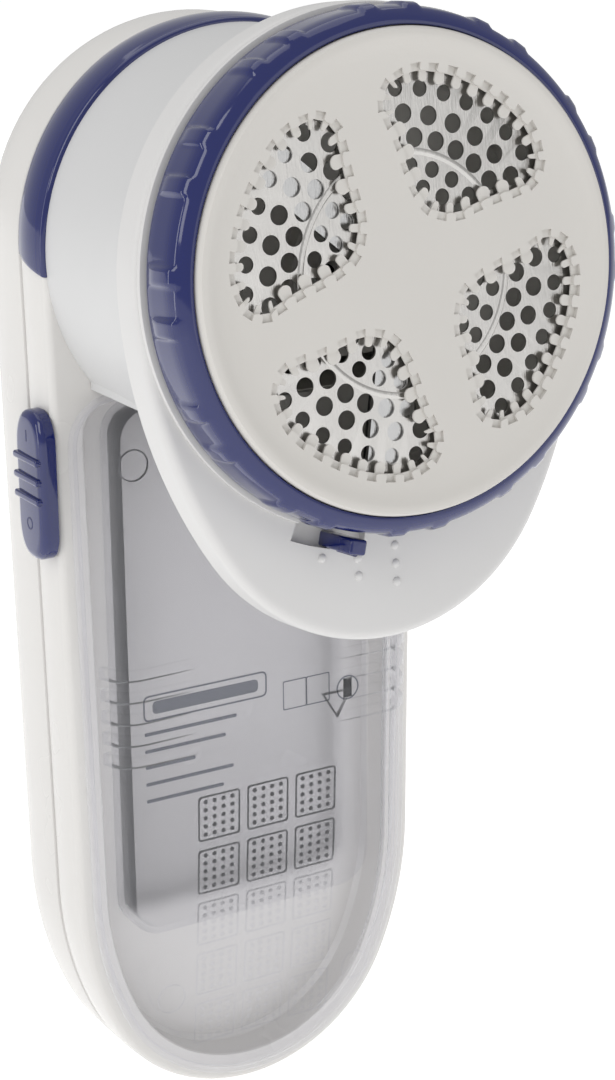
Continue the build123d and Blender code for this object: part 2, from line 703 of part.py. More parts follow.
with BuildPart() as motor_bushing:
    with BuildSketch(Plane.XY.offset(-MOTOR_FRONT - 1.2)):
        Circle(2.2)
        Circle(SHAFT_R + FIT, mode=Mode.SUBTRACT)
    extrude(amount=2.4)
motor_bushing.part = HEAD.location * motor_bushing.part
motor_bushing.part.label = "motor_bushing"
export_step(motor_bushing.part, "parts/motor_bushing.step")

with BuildPart() as motor_end_cap:
    with BuildSketch(Plane.XY.offset(-MOTOR_BACK)):
        Circle(MOTOR_R)
    extrude(amount=1.6)
    with BuildSketch(Plane.XY.offset(-MOTOR_BACK + 1.6)):
        Circle(MOTOR_R - 1.0)
        Circle(MOTOR_R - 2.2, mode=Mode.SUBTRACT)
    extrude(amount=2.0)
    with BuildSketch(Plane.XY.offset(-MOTOR_BACK - 1.4)):
        Circle(3.0)
        with Locations((-6, 0), (6, 0)):
            Rectangle(0.6, 2.4)
    extrude(amount=1.4)
    with BuildSketch(Plane.XY.offset(-MOTOR_BACK - 2)):
        Circle(SHAFT_R + FIT)
    extrude(amount=6, mode=Mode.SUBTRACT)
motor_end_cap.part = HEAD.location * motor_end_cap.part
motor_end_cap.part.label = "motor_end_cap"
export_step(motor_end_cap.part, "parts/motor_end_cap.step")

# ------------------------------------------- chamber floor, carries the motor
CHUTE_W = 30.0
MOUNT_BACK = COLLAR_BACK + MOUNT_THICK
CHUTE_TOP = -(MOTOR_R + 1.4)
CHUTE_LOW = DRUM_CUT + WALL - HEAD_Z + 4.6

with BuildPart() as motor_mount:
    with BuildSketch(Plane.XY.offset(-MOUNT_BACK)):
        Circle(CHAMBER_R + CHAMBER_WALL - 1.2)
        Circle(MOTOR_R + 0.1, mode=Mode.SUBTRACT)
        with Locations((0, (CHUTE_TOP + CHUTE_LOW) / 2 - 0.4)):
            Rectangle(CHUTE_W, 5.0, mode=Mode.SUBTRACT)
    extrude(amount=MOUNT_THICK)
    with BuildSketch(Plane.XY.offset(-MOUNT_BACK)):
        Circle(MOTOR_R + 1.5)
        Circle(MOTOR_R + 0.1, mode=Mode.SUBTRACT)
    extrude(amount=MOUNT_BACK - MOTOR_FRONT + 1.3)
    with BuildSketch(Plane.XY.offset(-MOTOR_FRONT)):
        Circle(MOTOR_R + 1.5)
        Circle(3.2, mode=Mode.SUBTRACT)
        with Locations((-6.5, 0), (6.5, 0)):
            Circle(0.9, mode=Mode.SUBTRACT)
    extrude(amount=1.3)
motor_mount.part = HEAD.location * motor_mount.part
motor_mount.part.label = "motor_mount"
export_step(motor_mount.part, "parts/motor_mount.step")

with BuildPart() as motor_screws:
    with BuildSketch(Plane.XY.offset(-MOTOR_FRONT - 2.4)):
        with Locations((-6.5, 0), (6.5, 0)):
            Circle(0.8)
    extrude(amount=2.4 + 1.3)
    with BuildSketch(Plane.XY.offset(-MOTOR_FRONT + 1.3)):
        with Locations((-6.5, 0), (6.5, 0)):
            Circle(1.5)
    extrude(amount=0.9)
motor_screws.part = HEAD.location * motor_screws.part
motor_screws.part.label = "motor_screws"
export_step(motor_screws.part, "parts/motor_screws.step")


# ------------------------------------------------------------- lint chute
CHUTE_FLOOR_Z = DRUM_CUT + WALL + 0.3
CHUTE_ROOF_Z = CHUTE_FLOOR_Z + 6.6
CHUTE_FRONT_Y = HEAD_Y + MOUNT_BACK + 3.2
CHUTE_BACK_Y = FLOOR_Y - 1.4

with BuildPart() as lint_chute:
    with BuildSketch(front(CHUTE_BACK_Y)):
        with Locations((0, (CHUTE_FLOOR_Z + CHUTE_ROOF_Z) / 2)):
            Rectangle(CHUTE_W + 2.4, CHUTE_ROOF_Z - CHUTE_FLOOR_Z)
    extrude(amount=CHUTE_BACK_Y - CHUTE_FRONT_Y)
    with BuildSketch(front(CHUTE_BACK_Y - 1.2)):
        with Locations((0, (CHUTE_FLOOR_Z + CHUTE_ROOF_Z) / 2)):
            Rectangle(CHUTE_W, CHUTE_ROOF_Z - CHUTE_FLOOR_Z - 2.4)
    extrude(amount=CHUTE_BACK_Y - CHUTE_FRONT_Y + 1, mode=Mode.SUBTRACT)
    with BuildSketch(Plane.XY.offset(CHUTE_FLOOR_Z - 1)):
        with Locations((0, (RIM_Y + FLOOR_Y) / 2 - 3)):
            Rectangle(CHUTE_W, 9)
    extrude(amount=3, mode=Mode.SUBTRACT)
lint_chute.part.label = "lint_chute"
export_step(lint_chute.part, "parts/lint_chute.step")


# --------------------------------------------------------------- lint box
FLANGE_BACK = RIM_Y - GAP
BODY_INSET = 5.8
FLANGE_INSET = 2.4
BOX_ROUND = 4.6
INNER_ROUND = 2.5
BOX_BACK = FLOOR_Y - 0.5
TRAY_TOP_Z = BOX_TOP - 2.3
BOX_CORNER = 8.0
REAR_LOW = 26.0 + POCKET_LOW
REAR_W = 2 * (width_at(REAR_LOW - BOX_SLIDE) - POCKET_INSET - 0.4)


def box_body(inset, front_y, top, roundness, corner):
    """Bulging front of the lint box, cut off level at the top."""
    with BuildPart() as bulge:
        with BuildSketch(front(FLANGE_BACK)) as bulge_plan:
            with BuildLine():
                draw_outline(inset)
            make_face()
            with Locations((0, top + 60)):
                Rectangle(100, 120, mode=Mode.SUBTRACT)
            fillet(bulge_plan.vertices().sort_by(Axis.Y)[-2:], radius=corner)
        extrude(amount=FLANGE_BACK - front_y)
        fillet(bulge.faces().sort_by(Axis.Y)[0].edges(), radius=roundness)
    return bulge.part


with BuildPart() as lint_box:
    with BuildSketch(front(FLANGE_BACK)) as flange_plan:
        with BuildLine():
            draw_outline(FLANGE_INSET)
        make_face()
        with Locations((0, BOX_TOP + 60)):
            Rectangle(100, 120, mode=Mode.SUBTRACT)
        fillet(flange_plan.vertices().sort_by(Axis.Y)[-2:], radius=BOX_CORNER)
    extrude(amount=FLANGE_THICK)
    add(box_body(BODY_INSET, BOX_FRONT, BOX_TOP, BOX_ROUND, BOX_CORNER - 1.5))
    # rear tray that reaches into the pocket
    with BuildSketch(front(BOX_BACK)):
        with Locations((0, (TRAY_TOP_Z + REAR_LOW) / 2)):
            RectangleRounded(REAR_W, TRAY_TOP_Z - REAR_LOW, 6.0)
    extrude(amount=BOX_BACK - FLANGE_BACK)
    # inside
    inside = box_body(
        BODY_INSET + BOX_WALL, BOX_FRONT + BOX_WALL, BOX_TOP - BOX_WALL, INNER_ROUND, BOX_CORNER - 3.0
    )
    add(inside, mode=Mode.SUBTRACT)
    with BuildSketch(front(BOX_BACK - BOX_WALL)):
        with Locations((0, (TRAY_TOP_Z + REAR_LOW) / 2)):
            RectangleRounded(
                REAR_W - 2 * BOX_WALL,
                TRAY_TOP_Z - REAR_LOW - 2 * BOX_WALL,
                4.5,
            )
    extrude(amount=BOX_BACK - FLANGE_BACK - BOX_WALL + 2.0, mode=Mode.SUBTRACT)
    # lint comes in at the top
    with BuildSketch(Plane.XY.offset(BOX_TOP + 1)):
        with Locations((0, (RIM_Y + FLOOR_Y) / 2 - 3.2)):
            Rectangle(28, 7.0)
    extrude(amount=-5, mode=Mode.SUBTRACT)
    # back of the lower half, where the tray stops
    with BuildSketch(front(FLANGE_BACK)):
        with BuildLine():
            draw_outline(FLANGE_INSET + 1.0)
        make_face()
        with Locations((0, REAR_LOW + 2.0 + 100)):
            Rectangle(100, 200, mode=Mode.SUBTRACT)
    extrude(amount=1.2)
lint_box.part.label = "lint_box"
export_step(lint_box.part, "parts/lint_box.step")


# ------------------------------------------------------------ battery bay
TRAY_W = 4 * CELL_R + CELL_GAP + 2.0
TRAY_FRONT = FLOOR_Y + WALL + 0.1

with BuildPart() as battery_tray:
    with BuildSketch(front(CELL_Y + CELL_R * 0.4)):
        with Locations((0, CELL_Z + CELL_LENGTH / 2)):
            Rectangle(TRAY_W + 2.4, CELL_LENGTH + 12.4)
            Rectangle(TRAY_W, CELL_LENGTH + 10.0, mode=Mode.SUBTRACT)
    extrude(amount=CELL_Y + CELL_R * 0.4 - TRAY_FRONT)
    with BuildSketch(front(CELL_Y - CELL_R * 0.72)):
        with Locations((0, CELL_Z + CELL_LENGTH / 2)):
            Rectangle(1.0, CELL_LENGTH)
    extrude(amount=CELL_Y - CELL_R * 0.72 - TRAY_FRONT)
    with BuildSketch(front(CELL_Y)):
        with Locations((0, CELL_Z + 6), (0, CELL_Z + CELL_LENGTH - 6)):
            Rectangle(TRAY_W + 1.2, 3.0)
    extrude(amount=CELL_Y - TRAY_FRONT)
    with BuildSketch(Plane.XY.offset(CELL_Z - 0.01)):
        with Locations((CELL_R + CELL_GAP / 2, CELL_Y), (-CELL_R - CELL_GAP / 2, CELL_Y)):
            Circle(CELL_R + 0.05)
    extrude(amount=CELL_LENGTH + 0.02, mode=Mode.SUBTRACT)
battery_tray.part.label = "battery_tray"
export_step(battery_tray.part, "parts/battery_tray.step")

with BuildPart() as battery_cells:
    with BuildSketch(Plane.XY.offset(CELL_Z)):
        with Locations((CELL_R + CELL_GAP / 2, CELL_Y), (-CELL_R - CELL_GAP / 2, CELL_Y)):
            Circle(CELL_R)
    extrude(amount=CELL_LENGTH - 1.5)
    with BuildSketch(Plane.XY.offset(CELL_Z + CELL_LENGTH - 1.5)):
        with Locations((CELL_R + CELL_GAP / 2, CELL_Y), (-CELL_R - CELL_GAP / 2, CELL_Y)):
            Circle(2.7)
    extrude(amount=1.5)
battery_cells.part.label = "battery_cells"
export_step(battery_cells.part, "parts/battery_cells.step")

with BuildPart() as contact_springs:
    for x in (CELL_R + CELL_GAP / 2, -CELL_R - CELL_GAP / 2):
        with BuildLine(mode=Mode.PRIVATE) as contact_coil:
            Helix(pitch=1.3, height=3.6, radius=3.0, center=(x, CELL_Y, CELL_Z - 4.1))
        start = contact_coil.line
        with BuildSketch(Plane(origin=start @ 0, z_dir=start % 0)) as wire:
            Circle(0.35)
        sweep(path=start, is_frenet=True)
contact_springs.part.label = "contact_springs"
export_step(contact_springs.part, "parts/contact_springs.step")

with BuildPart() as contact_plates:
    with BuildSketch(Plane.XY.offset(CELL_Z + CELL_LENGTH + 0.1)):
        with Locations((CELL_R + CELL_GAP / 2, CELL_Y - 1.5), (-CELL_R - CELL_GAP / 2, CELL_Y - 1.5)):
            Rectangle(9.0, 8.0)
    extrude(amount=0.5)
    with BuildSketch(Plane.XY.offset(CELL_Z - 4.96)):
        with Locations((0, CELL_Y - 1.5)):
            Rectangle(24.0, 8.0)
    extrude(amount=0.45)
contact_plates.part.label = "contact_plates"
export_step(contact_plates.part, "parts/contact_plates.step")


# ----------------------------------------------------------- battery door
with BuildPart() as battery_door:
    with BuildSketch(front(BACK_Y)) as door_plan:
        with Locations((0, DOOR_Z + (DOOR_H + HINGE_R) / 2)):
            Rectangle(DOOR_W, DOOR_H - HINGE_R)
        fillet(door_plan.vertices().sort_by(Axis.Y)[-2:], radius=2.8)
    extrude(amount=WALL)
    # rounded lower edge, centred on the hinge line
    with BuildSketch(Plane.YZ.offset(-DOOR_W / 2)):
        with Locations((BACK_Y - HINGE_R, DOOR_Z + HINGE_R)):
            Circle(HINGE_R)
    extrude(amount=DOOR_W)
    with BuildSketch(front(BACK_Y)):
        with Locations(*[(0, DOOR_Z + DOOR_H - 8 - 2.4 * i) for i in range(4)]):
            RectangleRounded(16, 1.0, 0.45)
    extrude(amount=0.5, mode=Mode.SUBTRACT)
    with BuildSketch(front(BACK_Y - WALL)):
        with Locations((0, DOOR_Z + DOOR_H - 1.2)):
            Rectangle(10, 1.4)
    extrude(amount=2.0)
battery_door.part.label = "battery_door"
export_step(battery_door.part, "parts/battery_door.step")


# ------------------------------------------------------------ side switch
KNOB_X = -width_at(KNOB_Z + KNOB_LENGTH / 2) + KNOB_SINK
STEM = 1.9

with BuildPart() as switch_knob:
    with BuildSketch(Plane.YZ.offset(KNOB_X)):
        with Locations((KNOB_Y, KNOB_Z + KNOB_LENGTH / 2)):
            RectangleRounded(KNOB_W, KNOB_LENGTH, 4.2)
    extrude(amount=-2.8)
    fillet(switch_knob.faces().sort_by(Axis.X)[0].edges(), radius=1.6)
    for dz in (-0.6, 2.6, 5.8):
        with BuildSketch(Plane.YZ.offset(KNOB_X - 2.0)):
            with Locations((KNOB_Y, KNOB_Z + KNOB_LENGTH / 2 + dz)):
                RectangleRounded(KNOB_W - 1.6, 1.0, 0.45)
        extrude(amount=-1.5)
    with BuildSketch(Plane.YZ.offset(KNOB_X)):
        with Locations((KNOB_Y, KNOB_Z + KNOB_LENGTH / 2)):
            Rectangle(2.6, 6.0)
    extrude(amount=STEM)
switch_knob.part.label = "switch_knob"
export_step(switch_knob.part, "parts/switch_knob.step")

SWITCH_X = KNOB_X + STEM + 1.2
with BuildPart() as switch_body:
    with BuildSketch(Plane.YZ.offset(SWITCH_X)):
        with Locations((SEAM_Y + 4.0, KNOB_Z + KNOB_LENGTH / 2 + KNOB_TRAVEL / 2)):
            Rectangle(7.0, 14.0)
    extrude(amount=4.5)
switch_body.part.label = "switch_body"
export_step(switch_body.part, "parts/switch_body.step")

with BuildPart() as switch_slider:
    with BuildSketch(Plane.YZ.offset(KNOB_X + STEM)):
        with Locations(((KNOB_Y + SEAM_Y + 4.0) / 2 + 0.6, KNOB_Z + KNOB_LENGTH / 2)):
            Rectangle(SEAM_Y + 4.0 - KNOB_Y + 2.6, 4.0)
    extrude(amount=1.1)
switch_slider.part.label = "switch_slider"
export_step(switch_slider.part, "parts/switch_slider.step")


# ---------------------------------------------------------------- screws
with BuildPart() as shell_screws:
    with BuildSketch(front(BACK_Y - 10.0)):
        with Locations(*[(x, z) for x, z in SCREW_SPOTS]):
            Circle(SCREW_R)
    extrude(amount=BACK_Y - 10.0 - SEAM_Y - 0.2)
    with BuildSketch(front(BACK_Y - 8.2)):
        with Locations(*[(x, z) for x, z in SCREW_SPOTS]):
            Circle(2.6)
    extrude(amount=1.8)
shell_screws.part.label = "shell_screws"
export_step(shell_screws.part, "parts/shell_screws.step")
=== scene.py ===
"""Looks of a hand-held fabric shaver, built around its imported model."""

import logging
from dataclasses import dataclass, field
from enum import Enum
from math import atan2, cos, degrees, hypot, pi, radians, sin

import bpy
import bmesh
import numpy as np
from mathutils import Matrix, Vector

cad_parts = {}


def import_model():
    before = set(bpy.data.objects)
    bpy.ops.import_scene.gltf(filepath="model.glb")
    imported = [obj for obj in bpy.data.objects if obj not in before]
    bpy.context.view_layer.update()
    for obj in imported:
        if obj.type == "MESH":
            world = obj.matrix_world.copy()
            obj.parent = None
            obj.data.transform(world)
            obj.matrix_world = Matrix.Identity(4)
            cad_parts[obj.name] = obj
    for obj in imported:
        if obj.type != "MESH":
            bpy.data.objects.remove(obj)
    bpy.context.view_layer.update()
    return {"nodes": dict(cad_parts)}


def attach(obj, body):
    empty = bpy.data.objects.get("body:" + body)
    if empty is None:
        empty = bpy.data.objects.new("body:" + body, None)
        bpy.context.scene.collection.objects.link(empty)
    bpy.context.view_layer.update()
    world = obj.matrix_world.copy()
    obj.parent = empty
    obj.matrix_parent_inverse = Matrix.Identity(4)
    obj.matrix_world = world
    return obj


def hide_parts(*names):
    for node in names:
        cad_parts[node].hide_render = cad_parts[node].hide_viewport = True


LOG = logging.getLogger("shaver")
MM = 0.001

Point = tuple[float, float, float]
Flat = tuple[float, float]

# ------------------------------------------------------------- shared sizes, mm
HEAD_Y, HEAD_Z, HEAD_TILT = -38.0, 153.0, 5.9
ARCH_R, ARCH_Z = 34.4, 150.9
BOTTOM_R, HIP_R, HIP_AT = 30.0, 60.0, 65.0
SEAM_Y, RIM_Y, FLOOR_Y, BACK_Y = 21.6, 12.9, 19.4, 42.7
WALL = 1.8
COLLAR_R, CHIN_DROP, CHIN_R = 38.8, 55.6, 32.0
COLLAR_FACE, COLLAR_BACK = 10.4, 16.3
LEVER_ANGLE = -14.0
DRUM_CUT = 129.3
BOX_TOP = 128.4
RAYS = 288
HEAD_MATRIX = Matrix.Translation((0, HEAD_Y * MM, HEAD_Z * MM)) @ Matrix.Rotation(
    radians(90.0 - HEAD_TILT), 4, "X"
) @ Matrix.Scale(MM, 4)
BODY_MATRIX = Matrix.Scale(MM, 4)
# stands a flat plan up, with its height towards the front
UPRIGHT = Matrix(((1, 0, 0, 0), (0, 0, -1, 0), (0, 1, 0, 0), (0, 0, 0, 1)))


# ------------------------------------------------------------------ the bench
def select_none() -> None:
    """Leaves edit mode and deselects everything."""
    active = bpy.context.view_layer.objects.active
    if active is not None and active.mode != "OBJECT":
        bpy.ops.object.mode_set(mode="OBJECT")
    bpy.ops.object.select_all(action="DESELECT")


def take(obj: bpy.types.Object) -> None:
    """Makes one object the only selected and active one."""
    select_none()
    obj.select_set(True)
    bpy.context.view_layer.objects.active = obj


def ring_of(name: str, loop: list[Point]) -> bpy.types.Object:
    """Adds a circle and puts its corners on a loop.

    Args:
        name: name of the new piece.
        loop: corners in millimetres, in order.

    Returns:
        The new mesh object, one closed ring of edges.
    """
    select_none()
    bpy.ops.mesh.primitive_circle_add(vertices=len(loop), radius=1.0)
    obj = bpy.context.object
    obj.name = name
    for corner, place in zip(obj.data.vertices, loop):
        corner.co = place
    return obj


def grow(obj: bpy.types.Object, loops: list[list[Point]], start: list[Point]) -> None:
    """Extrudes the open ring of an object from loop to loop.

    Args:
        obj: piece whose last ring is at start.
        loops: rings to reach, one after the other.
        start: ring that is extruded first.
    """
    take(obj)
    bpy.ops.object.mode_set(mode="EDIT")
    bpy.ops.mesh.select_mode(type="VERT")
    bpy.ops.mesh.select_all(action="DESELECT")
    mesh = bmesh.from_edit_mesh(obj.data)
    mesh.verts.ensure_lookup_table()
    ring = mesh.verts[-len(start):]
    for corner in ring:
        corner.select = True
    mesh.select_flush(True)
    bmesh.update_edit_mesh(obj.data)
    last = start
    for loop in loops:
        bpy.ops.mesh.extrude_edges_move()
        mesh = bmesh.from_edit_mesh(obj.data)
        index = {tuple(round(c, 5) for c in p): i for i, p in enumerate(last)}
        for corner in [v for v in mesh.verts if v.select]:
            corner.co = loop[index[tuple(round(c, 5) for c in corner.co)]]
        bmesh.update_edit_mesh(obj.data)
        last = [tuple(Vector(p)) for p in loop]
    bpy.ops.object.mode_set(mode="OBJECT")


def close_hole(obj: bpy.types.Object, ring: list[Point]) -> None:
    """Fills the flat end whose corners lie on a ring."""
    take(obj)
    wanted = {tuple(round(c, 4) for c in Vector(p)) for p in ring}
    bpy.ops.object.mode_set(mode="EDIT")
    bpy.ops.mesh.select_mode(type="VERT")
    bpy.ops.mesh.select_all(action="DESELECT")
    mesh = bmesh.from_edit_mesh(obj.data)
    for corner in mesh.verts:
        if tuple(round(c, 4) for c in corner.co) in wanted:
            corner.select = True
    mesh.select_flush(True)
    bmesh.update_edit_mesh(obj.data)
    bpy.ops.mesh.edge_face_add()
    bpy.ops.object.mode_set(mode="OBJECT")


def heal(obj: bpy.types.Object, gap: float = 0.0005) -> None:
    """Merges doubled corners and turns every face outwards."""
    take(obj)
    bpy.ops.object.mode_set(mode="EDIT")
    bpy.ops.mesh.select_all(action="SELECT")
    bpy.ops.mesh.remove_doubles(threshold=gap)
    bpy.ops.mesh.normals_make_consistent(inside=False)
    bpy.ops.object.mode_set(mode="OBJECT")


def loft(name: str, loops: list[list[Point]], ends: bool = True) -> bpy.types.Object:
    """Builds a skin through a stack of rings.

    Args:
        name: name of the new piece.
        loops: rings of equal count.
        ends: closes the first and last ring when true.

    Returns:
        The new piece, in millimetres.
    """
    obj = ring_of(name, loops[0])
    exact = [tuple(v.co) for v in obj.data.vertices]
    grow(obj, loops[1:], exact)
    if ends:
        close_hole(obj, loops[0])
        close_hole(obj, loops[-1])
    heal(obj)
    return obj


def lathe(name: str, profile: list[Flat], count: int, ends: bool = False) -> bpy.types.Object:
    """Turns a profile of (radius, height) about the local z axis."""
    loops = []
    for radius, height in profile:
        turn = [2 * pi * i / count for i in range(count)]
        loops.append([(radius * cos(a), radius * sin(a), height) for a in turn])
    return loft(name, loops, ends)


def use_modifier(obj: bpy.types.Object, kind: str, **settings: object) -> None:
    """Adds one modifier with its settings and applies it."""
    take(obj)
    modifier = obj.modifiers.new(kind.lower(), kind)
    for key, value in settings.items():
        setattr(modifier, key, value)
    bpy.ops.object.modifier_apply(modifier=modifier.name)


def cut(obj: bpy.types.Object, tool: bpy.types.Object) -> None:
    """Cuts a tool's shape out of a piece and removes the tool."""
    use_modifier(obj, "BOOLEAN", operation="DIFFERENCE", solver="EXACT", object=tool)
    bpy.data.objects.remove(tool)


def merge(pieces: list[bpy.types.Object], name: str) -> bpy.types.Object:
    """Joins several pieces into the first of them."""
    select_none()
    for piece in pieces:
        piece.select_set(True)
    bpy.context.view_layer.objects.active = pieces[0]
    bpy.ops.object.join()
    joined = bpy.context.object
    joined.name = name
    return joined


def copy_of(obj: bpy.types.Object, matrix: Matrix) -> bpy.types.Object:
    """Copies a piece with its own mesh, moved by a matrix."""
    take(obj)
    bpy.ops.object.duplicate(linked=False)
    twin = bpy.context.object
    twin.matrix_world = matrix
    bpy.ops.object.transform_apply(location=True, rotation=True, scale=True)
    return twin


def bevel_sharp(obj: bpy.types.Object, width: float, steps: int = 2, angle: float = 35.0) -> None:
    """Rounds every edge sharper than an angle."""
    use_modifier(
        obj, "BEVEL", width=width, segments=steps, limit_method="ANGLE", angle_limit=radians(angle),
        use_clamp_overlap=True,
    )


def place(obj: bpy.types.Object, matrix: Matrix, angle: float = 32.0) -> bpy.types.Object:
    """Puts a finished piece where it belongs and smooths its shading."""
    take(obj)
    obj.matrix_world = matrix
    bpy.ops.object.transform_apply(location=True, rotation=True, scale=True)
    bpy.ops.object.shade_smooth_by_angle(angle=radians(angle))
    return obj


def prism(name: str, outline: list[Flat], low: float, high: float) -> bpy.types.Object:
    """Extrudes a flat outline in local z."""
    return loft(name, [[(x, y, low) for x, y in outline], [(x, y, high) for x, y in outline]])


def rounded(w: float, h: float, r: float, steps: int = 5) -> list[Flat]:
    """Outline of a rounded rectangle about the origin."""
    outline = []
    for cx, cy, a0 in ((1, 1, 0), (-1, 1, 90), (-1, -1, 180), (1, -1, 270)):
        for i in range(steps + 1):
            a = radians(a0 + 90 * i / steps)
            outline.append((cx * (w / 2 - r) + r * cos(a), cy * (h / 2 - r) + r * sin(a)))
    return outline


# --------------------------------------------------------------- the outlines
def handle_curve(inset: float) -> list[Flat]:
    """Right half of the handle's outline, from the bottom up to the top."""
    turn = radians(HIP_AT)
    cx = -(HIP_R - BOTTOM_R) * sin(turn)
    cz = BOTTOM_R + (HIP_R - BOTTOM_R) * cos(turn)
    lean = 0.0
    for _ in range(30):
        lean = (ARCH_R - cos(lean) * cx - HIP_R) / (ARCH_Z - cz)
    curve = []
    for i in range(60):
        a = -pi / 2 + turn * i / 59
        curve.append(((BOTTOM_R - inset) * cos(a), BOTTOM_R + (BOTTOM_R - inset) * sin(a)))
    for i in range(1, 60):
        a = turn - pi / 2 + (pi / 2 - turn - lean) * i / 59
        curve.append((cx + (HIP_R - inset) * cos(a), cz + (HIP_R - inset) * sin(a)))
    top = ((ARCH_R - inset) * cos(lean), ARCH_Z - (ARCH_R - inset) * sin(lean))
    foot = curve[-1]
    for i in range(1, 41):
        curve.append((foot[0] + (top[0] - foot[0]) * i / 40, foot[1] + (top[1] - foot[1]) * i / 40))
    for i in range(1, 90):
        a = -lean + (pi / 2 + lean) * i / 89
        curve.append(((ARCH_R - inset) * cos(a), ARCH_Z + (ARCH_R - inset) * sin(a)))
    return curve


def clip_top(curve: list[Flat], top: float, corner: float) -> list[Flat]:
    """Cuts half an outline off level at the top, with a rounded corner."""
    xs = [p[0] for p in curve]
    zs = [p[1] for p in curve]
    lower = [p for p in curve if p[1] < top - corner and p[1] < ARCH_Z]
    side = float(np.interp(top - corner, zs[:155], xs[:155]))
    arc = []
    for i in range(13):
        a = pi / 2 * i / 12
        arc.append((side - corner + corner * cos(a), top - corner + corner * sin(a)))
    return lower + arc + [(0.0, top)]


def by_rays(half: list[Flat], centre_z: float, count: int = RAYS) -> list[Flat]:
    """Samples a symmetric outline on evenly spread rays from a point on the axis."""
    turns = [atan2(z - centre_z, x) for x, z in half]
    reach = [hypot(x, z - centre_z) for x, z in half]
    outline = []
    for i in range(count):
        a = 2 * pi * (i + 0.5) / count
        folded = atan2(sin(a), abs(cos(a)))
        r = float(np.interp(folded, turns, reach))
        outline.append((r * cos(a), centre_z + r * sin(a)))
    return outline


def handle_ring(inset: float, y: float) -> list[Point]:
    """Ring of the handle's outline at a depth."""
    return [(x, y, z) for x, z in by_rays(handle_curve(inset), 92.0)]


def box_ring(inset: float, y: float, top: float, corner: float) -> list[Point]:
    """Ring of the lint box's outline at a depth."""
    half = clip_top(handle_curve(inset), top, corner)
    return [(x, y, z) for x, z in by_rays(half, 70.0)]


def egg_curve(inset: float, count: int = RAYS) -> list[Flat]:
    """Collar outline: round above, drawn out into a chin below."""
    low = CHIN_DROP - CHIN_R
    side_r = (COLLAR_R**2 + low**2 - CHIN_R**2) / (2 * (COLLAR_R - CHIN_R))
    turn = atan2(low, side_r - COLLAR_R)
    dense = []
    for i in range(80):
        a = -pi / 2 + (pi / 2 - turn) * i / 79
        dense.append(((CHIN_R - inset) * cos(a), -low + (CHIN_R - inset) * sin(a)))
    for i in range(1, 80):
        a = -turn * (1 - i / 79)
        dense.append((COLLAR_R - side_r + (side_r - inset) * cos(a), (side_r - inset) * sin(a)))
    for i in range(1, 80):
        a = pi / 2 * i / 79
        dense.append(((COLLAR_R - inset) * cos(a), (COLLAR_R - inset) * sin(a)))
    return by_rays(dense, 0.0, count)


# ---------------------------------------------------------------- the finishes
def linear(code: str, alpha: float = 1.0) -> tuple[float, float, float, float]:
    """Turns an sRGB hex code into a linear colour."""
    out = []
    for i in (0, 2, 4):
        c = int(code[i:i + 2], 16) / 255
        out.append(c / 12.92 if c <= 0.04045 else ((c + 0.055) / 1.055) ** 2.4)
    return (out[0], out[1], out[2], alpha)


def add_node(
    tree: bpy.types.NodeTree, kind: str, links: dict[str, bpy.types.NodeSocket] | None = None,
    inputs: dict[str, object] | None = None, **settings: object,
) -> bpy.types.Node:
    """Adds a node.

    Args:
        tree: node tree it goes in.
        kind: type of the node.
        links: input name to the socket that feeds it.
        inputs: input name to its value.
        settings: properties of the node.

    Returns:
        The new node.
    """
    node = tree.nodes.new(kind)
    for key, value in settings.items():
        setattr(node, key, value)
    for key, value in (inputs or {}).items():
        node.inputs[key].default_value = value
    for key, socket in (links or {}).items():
        tree.links.new(socket, node.inputs[key])
    return node


class Sheen(Enum):
    """How a mould was finished."""

    POLISHED = 0.09
    SATIN = 0.26
    SPARK_ERODED = 0.42


@dataclass(frozen=True)
class MouldedPlastic:
    """Injection-moulded plastic: an even colour, faint flow marks and a fine mould texture."""

    name: str
    shade: str
    sheen: Sheen
    grain: float = 0.35
    bump: float = 0.02
    ior: float = 1.53
    coat: float = 0.0

    def build(self) -> bpy.types.Material:
        """Builds the material."""
        material = bpy.data.materials.new(self.name)
        material.use_nodes = True
        tree = material.node_tree
        tree.nodes.clear()
        where = add_node(tree, "ShaderNodeTexCoord")
        # flow marks some 14 mm long shift the gloss a little
        flow = add_node(
            tree, "ShaderNodeTexNoise", {"Vector": where.outputs["Object"]}, {"Scale": 70.0, "Detail": 2.0}
        )
        gloss = add_node(
            tree, "ShaderNodeMapRange", {"Value": flow.outputs["Fac"]},
            {"To Min": self.sheen.value * 0.85, "To Max": self.sheen.value * 1.15},
        )
        # mould texture: spark erosion leaves pits of a third of a millimetre
        pits = add_node(
            tree, "ShaderNodeTexNoise", {"Vector": where.outputs["Object"]},
            {"Scale": 1000.0 / self.grain, "Detail": 1.0},
        )
        relief = add_node(
            tree, "ShaderNodeBump", {"Height": pits.outputs["Fac"]},
            {"Strength": self.bump, "Distance": 0.0004},
        )
        base = add_node(
            tree, "ShaderNodeMixRGB", {"Fac": flow.outputs["Fac"]},
            {"Color1": linear(self.shade),
             "Color2": tuple(c * 0.97 for c in linear(self.shade)[:3]) + (1.0,)},
        )
        shader = add_node(
            tree, "ShaderNodeBsdfPrincipled",
            {"Base Color": base.outputs["Color"], "Roughness": gloss.outputs["Result"],
             "Normal": relief.outputs["Normal"]},
            {"IOR": self.ior, "Coat Weight": self.coat, "Coat Roughness": 0.05},
        )
        add_node(tree, "ShaderNodeOutputMaterial", {"Surface": shader.outputs["BSDF"]})
        return material


